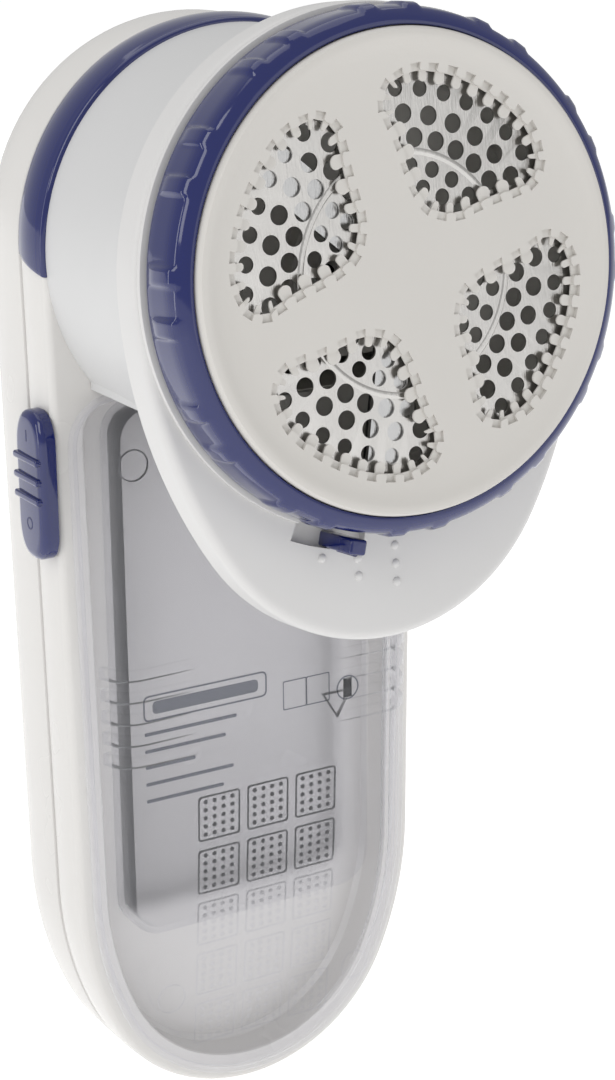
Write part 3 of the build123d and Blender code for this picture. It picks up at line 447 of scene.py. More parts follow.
@dataclass(frozen=True)
class RolledSteel:
    """Thin rolled or ground steel: bright metal with fine lines one way."""

    name: str
    shade: str
    roughness: float = 0.28
    line: float = 0.25
    turn: float = 0.0

    def build(self) -> bpy.types.Material:
        """Builds the material."""
        material = bpy.data.materials.new(self.name)
        material.use_nodes = True
        tree = material.node_tree
        tree.nodes.clear()
        where = add_node(tree, "ShaderNodeTexCoord")
        lay = add_node(
            tree, "ShaderNodeMapping", {"Vector": where.outputs["Object"]},
            {"Scale": (1.0, 1.0, 0.06), "Rotation": (0.0, self.turn, 0.0)},
        )
        # rolling lines a quarter of a millimetre apart
        lines = add_node(
            tree, "ShaderNodeTexNoise", {"Vector": lay.outputs["Vector"]},
            {"Scale": 1000.0 / self.line, "Detail": 2.0},
        )
        cloud = add_node(
            tree, "ShaderNodeTexNoise", {"Vector": where.outputs["Object"]}, {"Scale": 160.0, "Detail": 3.0}
        )
        base = add_node(
            tree, "ShaderNodeMixRGB", {"Fac": cloud.outputs["Fac"]},
            {"Color1": linear(self.shade), "Color2": tuple(c * 0.8 for c in linear(self.shade)[:3]) + (1.0,)},
        )
        rough = add_node(
            tree, "ShaderNodeMapRange", {"Value": lines.outputs["Fac"]},
            {"To Min": self.roughness * 0.75, "To Max": self.roughness * 1.3},
        )
        relief = add_node(
            tree, "ShaderNodeBump", {"Height": lines.outputs["Fac"]}, {"Strength": 0.12, "Distance": 0.0003}
        )
        shader = add_node(
            tree, "ShaderNodeBsdfPrincipled",
            {"Base Color": base.outputs["Color"], "Roughness": rough.outputs["Result"],
             "Normal": relief.outputs["Normal"]},
            {"Metallic": 1.0},
        )
        add_node(tree, "ShaderNodeOutputMaterial", {"Surface": shader.outputs["BSDF"]})
        return material


@dataclass(frozen=True)
class ClearPlastic:
    """Crystal polystyrene with thin walls: see-through, mirror-like at a slant, slightly milky."""

    name: str
    milk: float = 0.025
    tint: str = "fefeff"

    def build(self) -> bpy.types.Material:
        """Builds the material."""
        material = bpy.data.materials.new(self.name)
        material.use_nodes = True
        tree = material.node_tree
        tree.nodes.clear()
        where = add_node(tree, "ShaderNodeTexCoord")
        # sink marks and flow lines some 9 mm long bend the reflections
        flow = add_node(
            tree, "ShaderNodeTexNoise", {"Vector": where.outputs["Object"]}, {"Scale": 110.0, "Detail": 2.0}
        )
        relief = add_node(
            tree, "ShaderNodeBump", {"Height": flow.outputs["Fac"]}, {"Strength": 0.10, "Distance": 0.002}
        )
        # the same mirror share from both sides of a thin wall, little head on and most of it at a graze
        slant = add_node(tree, "ShaderNodeLayerWeight", {"Normal": relief.outputs["Normal"]}, {"Blend": 0.5})
        steep = add_node(tree, "ShaderNodeMath", {0: slant.outputs["Facing"]}, {1: 5.0}, operation="POWER")
        share = add_node(
            tree, "ShaderNodeMapRange", {"Value": steep.outputs["Value"]},
            {"From Min": 0.0, "From Max": 1.0, "To Min": self.milk, "To Max": 0.8},
        )
        through = add_node(tree, "ShaderNodeBsdfTransparent", None, {"Color": linear(self.tint)})
        shader = add_node(
            tree, "ShaderNodeBsdfPrincipled", {"Normal": relief.outputs["Normal"]},
            {"Base Color": linear("f2f3f5"), "Roughness": 0.06, "IOR": 1.59, "Specular IOR Level": 1.0},
        )
        mix = add_node(
            tree, "ShaderNodeMixShader",
            {"Fac": share.outputs["Result"], 1: through.outputs["BSDF"], 2: shader.outputs["BSDF"]},
        )
        add_node(tree, "ShaderNodeOutputMaterial", {"Surface": mix.outputs["Shader"]})
        return material


def dress(obj: bpy.types.Object, material: bpy.types.Material) -> None:
    """Gives a piece one material."""
    obj.data.materials.clear()
    obj.data.materials.append(material)


def seat(obj: bpy.types.Object, body: str, slot: str, material: bpy.types.Material, *nodes: str) -> None:
    """Dresses a piece, hangs it on its body and hides the imported parts it stands for."""
    dress(obj, material)
    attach(obj, body)
    if nodes:
        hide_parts(*nodes)
    LOG.info("%s: %d faces on %s", obj.name, len(obj.data.polygons), body)


# --------------------------------------------------------------- the head
SLOT_TIPS: list[Flat] = [
    (-24.0, -4.0), (-27.2, -3.0), (-28.8, -0.5), (-29.6, 2.5), (-29.4, 5.6), (-28.7, 8.9),
    (-27.5, 11.9), (-26.0, 14.8), (-24.2, 17.6), (-22.0, 20.4), (-19.4, 22.6), (-16.3, 23.8),
    (-13.3, 24.1), (-10.4, 22.3), (-9.3, 19.1), (-8.7, 15.6), (-7.8, 12.2), (-6.9, 9.0),
    (-7.2, 5.7), (-8.6, 2.8), (-11.6, 0.8), (-15.0, -0.5), (-18.3, -1.5), (-21.4, -2.9),
]


@dataclass
class LockRing:
    """Blue bayonet ring with pairs of finger grips."""

    pairs: int = 12
    spread: float = 5.5
    rise: float = 0.5
    count: int = 720
    profile: list[Flat] = field(default_factory=lambda: [
        (35.75, -1.35), (35.05, -1.3), (35.0, -0.5), (35.12, -0.12), (35.42, 0.02), (35.8, -0.06),
        (36.6, -0.5), (37.2, -0.98), (37.45, -1.3), (37.6, -1.75), (37.72, -2.2), (37.86, -2.8),
        (37.92, -4.0), (37.96, -5.4), (37.98, -6.8), (38.0, -8.2), (37.95, -8.62), (37.7, -8.8),
        (35.9, -8.8), (35.7, -8.6),
    ])

    def bump(self, turn: float, height: float) -> float:
        """How far a grip stands out at an angle and height."""
        pitch = 360.0 / self.pairs
        off = (degrees(turn) + pitch * 0.5) % pitch - pitch * 0.5
        off = abs(abs(off) - self.spread)
        across = max(0.0, 1.0 - (off / 2.6) ** 2)
        if height > -2.2:
            along = max(0.0, min(1.0, (height + 3.4) / 1.2)) * max(0.0, min(1.0, (-height - 0.9) / 0.9))
        else:
            along = 1.0
        if height < -6.0:
            along = max(0.0, 1.0 - ((-6.0 - height) / 1.6) ** 2)
        return self.rise * min(1.0, across * 1.7) ** 1.5 * along

    def build(self, gloss: bpy.types.Material) -> None:
        """Builds and dresses the ring."""
        loops = []
        for radius, height in self.profile + [self.profile[0]]:
            loop = []
            for i in range(self.count):
                a = 2 * pi * i / self.count
                r = radius + (self.bump(a, height) if radius > 37.0 else 0.0)
                loop.append((r * cos(a), r * sin(a), height))
            loops.append(loop)
        ring = loft("lock_ring_blue", loops, ends=False)
        place(ring, HEAD_MATRIX, 40.0)
        seat(ring, "ring", "gloss_blue", gloss, "lock_ring")


@dataclass
class GuardPlate:
    """Guard plate with four toothed windows over the foil."""

    slot_half: float = 0.70
    slot_flare: float = 0.86
    slot_length: float = 2.15
    step: float = 0.85
    profile: list[Flat] = field(default_factory=lambda: [
        (4.0, -0.05), (12.0, -0.04), (22.0, 0.0), (28.0, 0.12), (31.0, 0.36), (32.4, 0.74), (33.2, 1.06),
        (33.9, 1.18), (34.45, 1.02), (34.78, 0.62), (34.9, 0.1), (34.9, -1.35), (35.6, -1.4), (35.6, -3.1),
        (32.95, -3.2), (32.9, -1.0), (32.5, -0.75), (4.0, -0.7),
    ])

    def window(self, reach: float, bulge: float, start: float = 0.0) -> list[Flat]:
        """Outline of one window: square slots with round tooth tips between them.

        Args:
            reach: length of the teeth from the slots' outer ends.
            bulge: how round the tooth tips are.
            start: how far inside the slots' outer ends this level opens.

        Returns:
            The closed outline.
        """
        frames = []
        count = len(SLOT_TIPS)
        for i, (x, y) in enumerate(SLOT_TIPS):
            ax, ay = SLOT_TIPS[i - 1]
            bx, by = SLOT_TIPS[(i + 1) % count]
            length = hypot(bx - ax, by - ay)
            frames.append((x, y, (by - ay) / length, -(bx - ax) / length))
        outline: list[Flat] = []
        for i, (x, y, nx, ny) in enumerate(frames):
            tx, ty = -ny, nx
            for side, wide, out in ((-1, self.slot_half, reach), (-1, self.slot_flare, start),
                                    (1, self.slot_flare, start), (1, self.slot_half, reach)):
                outline.append((x + nx * out + tx * side * wide, y + ny * out + ty * side * wide))
            ux, uy, mx, my = frames[(i + 1) % count]
            ex = ux + mx * reach + my * self.slot_half
            ey = uy + my * reach - mx * self.slot_half
            sx, sy = outline[-1]
            gx, gy = nx + mx, ny + my
            size = hypot(gx, gy)
            half = hypot(ex - sx, ey - sy) / 2
            for k in range(1, 8):
                a = pi * k / 8
                swell = half * bulge * sin(a)
                f = (1 - cos(a)) / 2
                outline.append((
                    sx + (ex - sx) * f + gx / size * swell, sy + (ey - sy) * f + gy / size * swell,
                ))
        return outline

    def build(self, cream: bpy.types.Material) -> None:
        """Builds and dresses the plate."""
        plate = lathe("guard_plate_cream", self.profile, 240, True)
        through = self.window(self.slot_length, 0.85, self.slot_length * 0.55)
        upper = self.window(self.slot_length * 0.42, 0.3)
        tools = []
        for quarter in range(4):
            turn = Matrix.Rotation(radians(90 * quarter), 4, "Z")
            for outline, low, high in ((through, -4.0, 4.0), (upper, -self.step + 0.42, 4.0)):
                tool = prism("window_tool", outline, low, high)
                take(tool)
                tool.matrix_world = turn
                bpy.ops.object.transform_apply(location=True, rotation=True, scale=True)
                tools.append(tool)
        for tool in tools:
            cut(plate, tool)
        place(plate, HEAD_MATRIX, 28.0)
        seat(plate, "guard", "guard_cream", cream, "guard_plate")


@dataclass
class Foil:
    """Perforated steel foil with a pressed ridge."""

    top: float = -1.5
    thick: float = 0.4
    rows: list[tuple[float, int, float, float]] = field(default_factory=lambda: [
        (22.7, 33, 1.42, 0.0), (19.4, 33, 1.42, 5.45), (15.4, 26, 1.2, 0.0), (12.5, 22, 1.2, 7.0),
        (26.3, 40, 1.2, 0.0),
    ])

    def build(self, steel: bpy.types.Material) -> None:
        """Builds and dresses the foil."""
        t, b = self.top, self.top - self.thick
        profile = [(4.0, t), (17.0, t), (17.2, t + 0.13), (17.5, t + 0.16), (17.8, t + 0.13), (18.0, t),
                   (31.7, t), (32.2, t - 0.15), (32.4, t - 0.5), (32.4, t - 4.0), (32.0, t - 4.0),
                   (32.0, b - 0.2), (31.7, b), (4.0, b)]
        sheet = lathe("shaving_foil_steel", profile, 180, True)
        punches = []
        for row, count, radius, start in self.rows:
            for i in range(count):
                a = radians(start) + 2 * pi * i / count
                punches.append((row * cos(a), row * sin(a), radius))
        select_none()
        rods = []
        for x, y, radius in punches:
            bpy.ops.mesh.primitive_cylinder_add(vertices=20, radius=radius, depth=2.0, location=(x, y, t))
            rods.append(bpy.context.object)
        tool = merge(rods, "punches")
        take(tool)
        bpy.ops.object.transform_apply(location=True, rotation=True, scale=True)
        cut(sheet, tool)
        place(sheet, HEAD_MATRIX, 28.0)
        seat(sheet, "housing", "foil_steel", steel, "shaving_foil")


@dataclass
class Collar:
    """Egg-shaped collar with its chin, lever slot and raised dots."""

    edge: float = 1.5
    dots: list[Flat] = field(default_factory=lambda: [
        (-11.7, -41.3), (-5.6, -42.3), (-5.6, -45.0), (1.0, -41.4), (1.0, -44.2), (1.0, -47.0),
    ])

    def build(self, white: bpy.types.Material) -> None:
        """Builds and dresses the collar."""
        front, back = -COLLAR_FACE, -COLLAR_BACK
        loops = [self.round_ring(33.5, back), [(x, y, back) for x, y in egg_curve(0.0)]]
        loops.append([(x, y, front - self.edge) for x, y in egg_curve(0.0)])
        for i in range(1, 7):
            a = pi / 2 * i / 6
            inset = self.edge * (1 - cos(a))
            loops.append([(x, y, front - self.edge * (1 - sin(a))) for x, y in egg_curve(inset)])
        loops.append([(x, y, front) for x, y in egg_curve(2.2)])
        for s in (0.35, 0.7):
            outer, inner = egg_curve(2.2), self.round_ring(35.5, front)
            loops.append([
                (ox + (ix - ox) * s, oy + (iy - oy) * s, front)
                for (ox, oy), (ix, iy, _) in zip(outer, inner)
            ])
        loops.append(self.round_ring(35.5, front))
        loops.append(self.round_ring(33.5, front))
        loops.append(loops[0])
        collar = loft("head_collar_white", loops, ends=False)
        slot = self.arc(37.5, 41.4, -24.0, -6.0)
        tool = prism("slot_tool", slot, front - 1.6, front + 2.0)
        cut(collar, tool)
        step = lathe("collar_step", [
            (38.3, front - 0.5), (38.62, front + 0.1), (38.62, front + 0.55), (38.5, front + 0.75),
            (38.2, front + 0.8), (35.5, front + 0.8), (35.5, front - 0.5), (38.3, front - 0.5),
        ], RAYS)
        cut(step, self.slot_gap())
        parts = [collar, step]
        for x, y in self.dots:
            dome = lathe(
                "dot", [(0.72, -0.1), (0.68, 0.08), (0.52, 0.27), (0.28, 0.38), (0.05, 0.41)], 20, True
            )
            parts.append(copy_of(dome, Matrix.Translation((x, y, front))))
            bpy.data.objects.remove(dome)
        whole = merge(parts, "head_collar_white")
        place(whole, HEAD_MATRIX, 35.0)
        seat(whole, "housing", "collar_white", white, "head_collar")

    def round_ring(self, radius: float, height: float) -> list[Point]:
        """Ring on the same rays as the egg."""
        return [(radius * cos(2 * pi * (i + 0.5) / RAYS), radius * sin(2 * pi * (i + 0.5) / RAYS), height)
                for i in range(RAYS)]

    def arc(self, inner: float, outer: float, a0: float, a1: float) -> list[Flat]:
        """Outline of an arc-shaped slot, angles from straight down."""
        turns = [radians(270 + a0 + (a1 - a0) * i / 24) for i in range(25)]
        outline = [(outer * cos(a), outer * sin(a)) for a in turns]
        outline += [(inner * cos(a), inner * sin(a)) for a in reversed(turns)]
        return outline

    def slot_gap(self) -> bpy.types.Object:
        """Tool that opens the step ring where the lever passes."""
        return prism("gap_tool", self.arc(36.4, 40.0, -24.0, -6.0), -COLLAR_FACE - 1.0, -COLLAR_FACE + 2.0)


@dataclass
class HeightLever:
    """Blue fin that is pushed along the chin."""

    width: float = 2.8
    inner: float = 38.9
    outer: float = 41.25
    front: float = -3.0
    back: float = -12.4

    def build(self, gloss: bpy.types.Material) -> None:
        """Builds and dresses the fin."""
        outline = rounded(self.width, self.outer - self.inner, 0.45, 4)
        mid = (self.outer + self.inner) / 2
        fin = prism("height_lever_blue", [(x, y - mid) for x, y in outline], self.back, self.front)
        ribs = prism("fin_rib", [(x, y - self.outer - 0.02) for x, y in rounded(0.8, 0.5, 0.2, 3)],
                     self.front - 5.4, self.front - 0.8)
        bevel_sharp(fin, 0.4, 3)
        arm = prism("fin_arm", [(x, y - 36.5) for x, y in rounded(2.6, 6.2, 0.4, 3)], -13.9, -12.3)
        cam = lathe(
            "lever_cam", [(33.3, -12.4), (33.3, -9.1), (31.8, -9.1), (31.8, -12.4), (33.3, -12.4)], 180
        )
        lever = merge([fin, ribs, arm, cam], "height_lever_blue")
        turn = Matrix.Rotation(radians(LEVER_ANGLE), 4, "Z")
        place(lever, HEAD_MATRIX @ turn, 35.0)
        seat(lever, "lever", "gloss_blue", gloss, "height_lever")


# ------------------------------------------------------------- the handle
@dataclass
class Neck:
    """Smooth neck that flares from the arch to the collar."""

    back_r: float = 33.7
    front_r: float = 36.6
    steps: int = 28

    def ring(self, s: float, shrink: float = 0.0) -> list[Point]:
        """Ring at a share of the way from the handle to the collar."""
        tilt = radians(HEAD_TILT) * s
        back_y, front_y = RIM_Y + 0.1, HEAD_Y + (COLLAR_BACK - 0.2) * cos(radians(HEAD_TILT))
        y = back_y + (front_y - back_y) * s
        z = ARCH_Z + (HEAD_Z - (COLLAR_BACK) * sin(radians(HEAD_TILT)) - ARCH_Z) * s
        r = self.back_r + (self.front_r - self.back_r) * s**2.2 - shrink
        loop = []
        for i in range(RAYS):
            a = 2 * pi * (i + 0.5) / RAYS
            loop.append((r * cos(a), y + r * sin(a) * sin(tilt), z + r * sin(a) * cos(tilt)))
        return loop

    def build(self, white: bpy.types.Material) -> None:
        """Builds and dresses the neck."""
        loops = [self.ring(i / self.steps) for i in range(self.steps + 1)]
        loops += [self.ring(1.0 - i / 6, WALL) for i in range(7)]
        loops.append(loops[0])
        neck = loft("neck_white", loops, ends=False)
        low = DRUM_CUT
        tool = prism("neck_tool", [(-50, -17.0), (50, -17.0), (50, 40.0), (-50, 40.0)], low - 60, low)
        cut(neck, tool)
        plan = [(-27.0, -16.9), (27.0, -16.9), (27.0, 12.8), (-27.0, 12.8)]
        floor = prism("neck_floor", plan, low, low + WALL)
        bevel_sharp(floor, 0.2, 1)
        whole = merge([neck, floor], "neck_white")
        place(whole, BODY_MATRIX, 30.0)
        # the white it is given is a greyer copy of the shells': painted shade under the collar
        seat(whole, "housing", "shell_white", white)


@dataclass
class FrontShell:
    """Front half of the handle: rounded rim and the pocket behind the box."""

    pocket_inset: float = 5.2
    skin: float = 1.2

    def build(self, white: bpy.types.Material) -> None:
        """Builds and dresses the front half."""
        loops = [handle_ring(WALL, SEAM_Y - 0.1), handle_ring(0.75, SEAM_Y - 0.1),
                 handle_ring(0.45, SEAM_Y - 0.2), handle_ring(0.3, SEAM_Y - 0.5)]
        for i in range(1, 15):
            s = i / 14
            y = SEAM_Y - 0.5 + (RIM_Y + 1.3 - SEAM_Y + 0.5) * s
            loops.append(handle_ring(0.3 - 0.3 * sin(pi * min(1.0, s * 1.1)) ** 0.8 + 0.25 * s**4, y))
        for i in range(1, 9):
            a = pi / 2 * i / 8
            loops.append(handle_ring(0.25 + 1.3 * (1 - cos(a)), RIM_Y + 1.3 * (1 - sin(a))))
        loops.append(handle_ring(2.6, RIM_Y))
        loops.append(box_ring(self.pocket_inset, RIM_Y, 126.8, 5.0))
        loops.append(box_ring(self.pocket_inset + 0.2, RIM_Y + 0.3, 126.6, 5.0))
        loops.append(box_ring(self.pocket_inset + 0.3, FLOOR_Y - 1.0, 126.5, 5.0))
        loops.append(box_ring(self.pocket_inset + 1.1, FLOOR_Y, 125.7, 4.2))
        shell = loft("front_shell_white", loops, ends=False)
        close_hole(shell, loops[-1])
        heal(shell)
        use_modifier(shell, "SOLIDIFY", thickness=self.skin, offset=-1.0, use_even_offset=True)
        place(shell, BODY_MATRIX, 30.0)
        seat(shell, "housing", "shell_white", white, "front_shell")


@dataclass
class RearShell:
    """Back half of the handle with the door opening and screw wells."""

    roundness: float = 14.0
    door: tuple[float, float, float] = (37.0, 66.0, 30.0)
    screws: list[Flat] = field(default_factory=lambda: [
        (24.0, 130.2), (-24.0, 130.2), (16.0, 17.0), (-16.0, 17.0),
    ])

    def build(self, white: bpy.types.Material) -> None:
        """Builds and dresses the back half and its door."""
        loops = [handle_ring(0.55, SEAM_Y + 0.06), handle_ring(0.2, SEAM_Y + 0.25),
                 handle_ring(0.0, SEAM_Y + 0.7)]
        loops.append(handle_ring(0.0, BACK_Y - self.roundness))
        for i in range(1, 19):
            a = pi / 2 * i / 18
            inset = self.roundness * (1 - cos(a))
            loops.append(handle_ring(inset, BACK_Y - self.roundness * (1 - sin(a))))
        inner = []
        for i in range(18, -1, -3):
            a = pi / 2 * i / 18
            inset = WALL + (self.roundness - WALL) * (1 - cos(a))
            inner.append(handle_ring(inset, BACK_Y - WALL - (self.roundness - WALL) * (1 - sin(a))))
        inner.append(handle_ring(WALL, SEAM_Y - 2.0))
        shell = loft("rear_shell_white", loops)
        cut(shell, loft("rear_inside", inner))
        w, h, z = self.door
        opening = prism("door_tool", self.plan(w + 0.5, z - 0.25, z + h + 0.25, 3.0), -44.0, -35.0)
        wells = [opening]
        for x, zz in self.screws:
            wells.append(prism("well", [(x + 2.8 * cos(pi * k / 12), zz + 2.8 * sin(pi * k / 12))
                                        for k in range(24)], -44.0, -34.6))
        for tool in wells:
            take(tool)
            tool.matrix_world = UPRIGHT
            bpy.ops.object.transform_apply(location=True, rotation=True, scale=True)
            cut(shell, tool)
        place(shell, BODY_MATRIX, 30.0)
        seat(shell, "housing", "shell_white", white, "rear_shell")
        self.build_door(white)

    def plan(self, width: float, low: float, high: float, radius: float) -> list[Flat]:
        """Outline of the door: round upper corners, square lower ones."""
        half = width / 2
        outline = [(-half, low), (half, low)]
        for side, first in ((1, 0.0), (-1, 90.0)):
            for i in range(9):
                a = radians(first + 90.0 * i / 8)
                outline.append((side * (half - radius) + radius * cos(a), high - radius + radius * sin(a)))
        return outline

    def build_door(self, white: bpy.types.Material) -> None:
        """Builds the battery door with its thumb grooves and its round hinge edge."""
        w, h, z = self.door
        axis = WALL / 2
        panel = prism("battery_door_white", self.plan(w, z + axis, z + h, 2.8), -BACK_Y, -BACK_Y + WALL)
        turns = [2 * pi * i / 32 for i in range(32)]
        edge = loft("hinge_edge", [
            [(x, z + axis + axis * cos(a), -BACK_Y + axis + axis * sin(a)) for a in turns]
            for x in (-w / 2, w / 2)
        ])
        for i in range(5):
            plan = [(x, y + z + h - 8 - 2.4 * i) for x, y in rounded(16 - 1.2 * i, 1.1, 0.5)]
            groove = prism("groove", plan, -BACK_Y - 1.0, -BACK_Y + 0.5)
            cut(panel, groove)
        plan = [(x, y + z + h - 1.2) for x, y in rounded(10, 1.4, 0.4)]
        bolt = prism("catch", plan, -BACK_Y + 1.5, -BACK_Y + 3.8)
        panel = merge([panel, edge, bolt], "battery_door_white")
        place(panel, BODY_MATRIX @ UPRIGHT, 35.0)
        seat(panel, "door", "shell_white", white, "battery_door")


@dataclass
class ArchTrim:
    """Blue half-round trim over the top of the handle."""

    start: float = -3.2
    width: float = 8.7
    rise: float = 0.45
    proud: float = 0.12

    def section(self, s: float) -> Flat:
        """Radius and depth of the trim's skin at a share of its way round."""
        corner = 0.9
        lane = self.width - 2 * corner
        y = RIM_Y - 0.05 + corner + lane * s
        return ARCH_R + self.proud + self.rise * sin(pi * s) ** 0.75, y

    def build(self, gloss: bpy.types.Material) -> None:
        """Builds and dresses the trim."""
        profile = [(ARCH_R - 1.65, RIM_Y - 0.05)]
        for i in range(7):
            a = pi / 2 * i / 6
            profile.append((ARCH_R + self.proud - 0.9 * (1 - sin(a)), RIM_Y - 0.05 + 0.9 * (1 - cos(a))))
        profile += [self.section(i / 14) for i in range(1, 14)]
        for i in range(7):
            a = pi / 2 * i / 6
            profile.append((ARCH_R + self.proud - 0.7 * (1 - cos(a)), SEAM_Y - 0.12 - 0.7 * (1 - sin(a))))
        profile.append((ARCH_R - 1.65, SEAM_Y - 0.12))
        loops = []
        for k in range(145):
            loop = []
            for r, y in profile:
                share = (y - RIM_Y) / self.width
                first = self.start - 2.0 + 4.6 * share
                a = radians(first + (180 - 2 * first) * k / 144)
                loop.append((r * cos(a), y, ARCH_Z + r * sin(a)))
            loops.append(loop)
        trim = loft("arch_trim_blue", loops, ends=True)
        bevel_sharp(trim, 0.25, 2, 55.0)
        place(trim, BODY_MATRIX, 40.0)
        seat(trim, "housing", "gloss_blue", gloss, "top_trim")


@dataclass
class SwitchKnob:
    """Blue slide knob with three ridges and on and off marks."""

    length: float = 24.5
    width: float = 9.6
    low: float = 102.0
    middle_y: float = 16.6
    out: float = -36.75
    base: float = -33.9

    def shape(self, inset: float) -> list[Flat]:
        """Outline of the knob: straight sides and drawn-in ends."""
        h, w, e = self.length / 2 - inset, self.width / 2 - inset, 5.2
        half = [(w, y) for y in np.linspace(-(h - e), h - e, 8)]
        for i in range(1, 15):
            a = pi / 2 * i / 14
            half.append((w * cos(a) ** 0.8, h - e + e * sin(a)))
        left = [(-x, -y) for x, y in half]
        top = [(-x, y) for x, y in reversed(half[8:-1])]
        bottom = [(x, -y) for x, y in reversed(half[8:-1])]
        return half + top + left[:8] + [(-half[i][0], -half[i][1]) for i in range(8, len(half))] + bottom

    def build(self, gloss: bpy.types.Material, paint: bpy.types.Material) -> None:
        """Builds and dresses the knob."""
        depth = self.base - self.out
        rings = [(0.0, 0.0), (0.0, depth * 0.5)]
        turns = [pi / 2 * i / 6 for i in range(1, 7)]
        rings += [(1.5 * (1 - cos(a)), depth * 0.5 + (depth * 0.5) * sin(a)) for a in turns]
        loops = [[(x, y, d) for x, y in self.shape(inset)] for inset, d in rings]
        knob = loft("switch_knob_blue", loops)
        parts = [knob]
        for dz in (-1.9, 1.3, 4.5):
            plan = [(x, y + dz) for x, y in rounded(self.width - 0.9, 1.15, 0.5)]
            bar = prism("ridge", plan, depth * 0.6, depth + 0.55)
            bevel_sharp(bar, 0.3, 3)
            parts.append(bar)
        stem = prism("stem", rounded(2.6, 6.0, 0.5), -2.4, 0.4)
        parts.append(stem)
        whole = merge(parts, "switch_knob_blue")
        side = Matrix((
            (0, 0, -1, self.base), (-1, 0, 0, self.middle_y),
            (0, 1, 0, self.low + self.length / 2), (0, 0, 0, 1),
        ))
        place(whole, BODY_MATRIX @ side, 38.0)
        seat(whole, "switch", "gloss_blue", gloss, "switch_knob")
        stroke = [(x, y + 8.2) for x, y in rounded(0.35, 1.9, 0.15)]
        marks = [prism("on_mark", stroke, depth - 0.3, depth + 0.03)]
        ring = lathe("off_mark", [(1.05, 0.0), (1.05, 0.33), (0.75, 0.33), (0.75, 0.0), (1.05, 0.0)], 32)
        marks.append(copy_of(ring, Matrix.Translation((0, -6.2, depth - 0.3))))
        bpy.data.objects.remove(ring)
        for tip, dy in ((1, 10.6), (-1, -9.7)):
            arrow = [(-0.55, dy - 0.4 * tip), (0.55, dy - 0.4 * tip), (0.0, dy + 0.5 * tip)]
            marks.append(prism("arrow", arrow[::tip], depth - 0.5, depth - 0.08))
        engraved = merge(marks, "switch_marks")
        place(engraved, BODY_MATRIX @ side, 38.0)
        seat(engraved, "switch", "gloss_blue", paint)


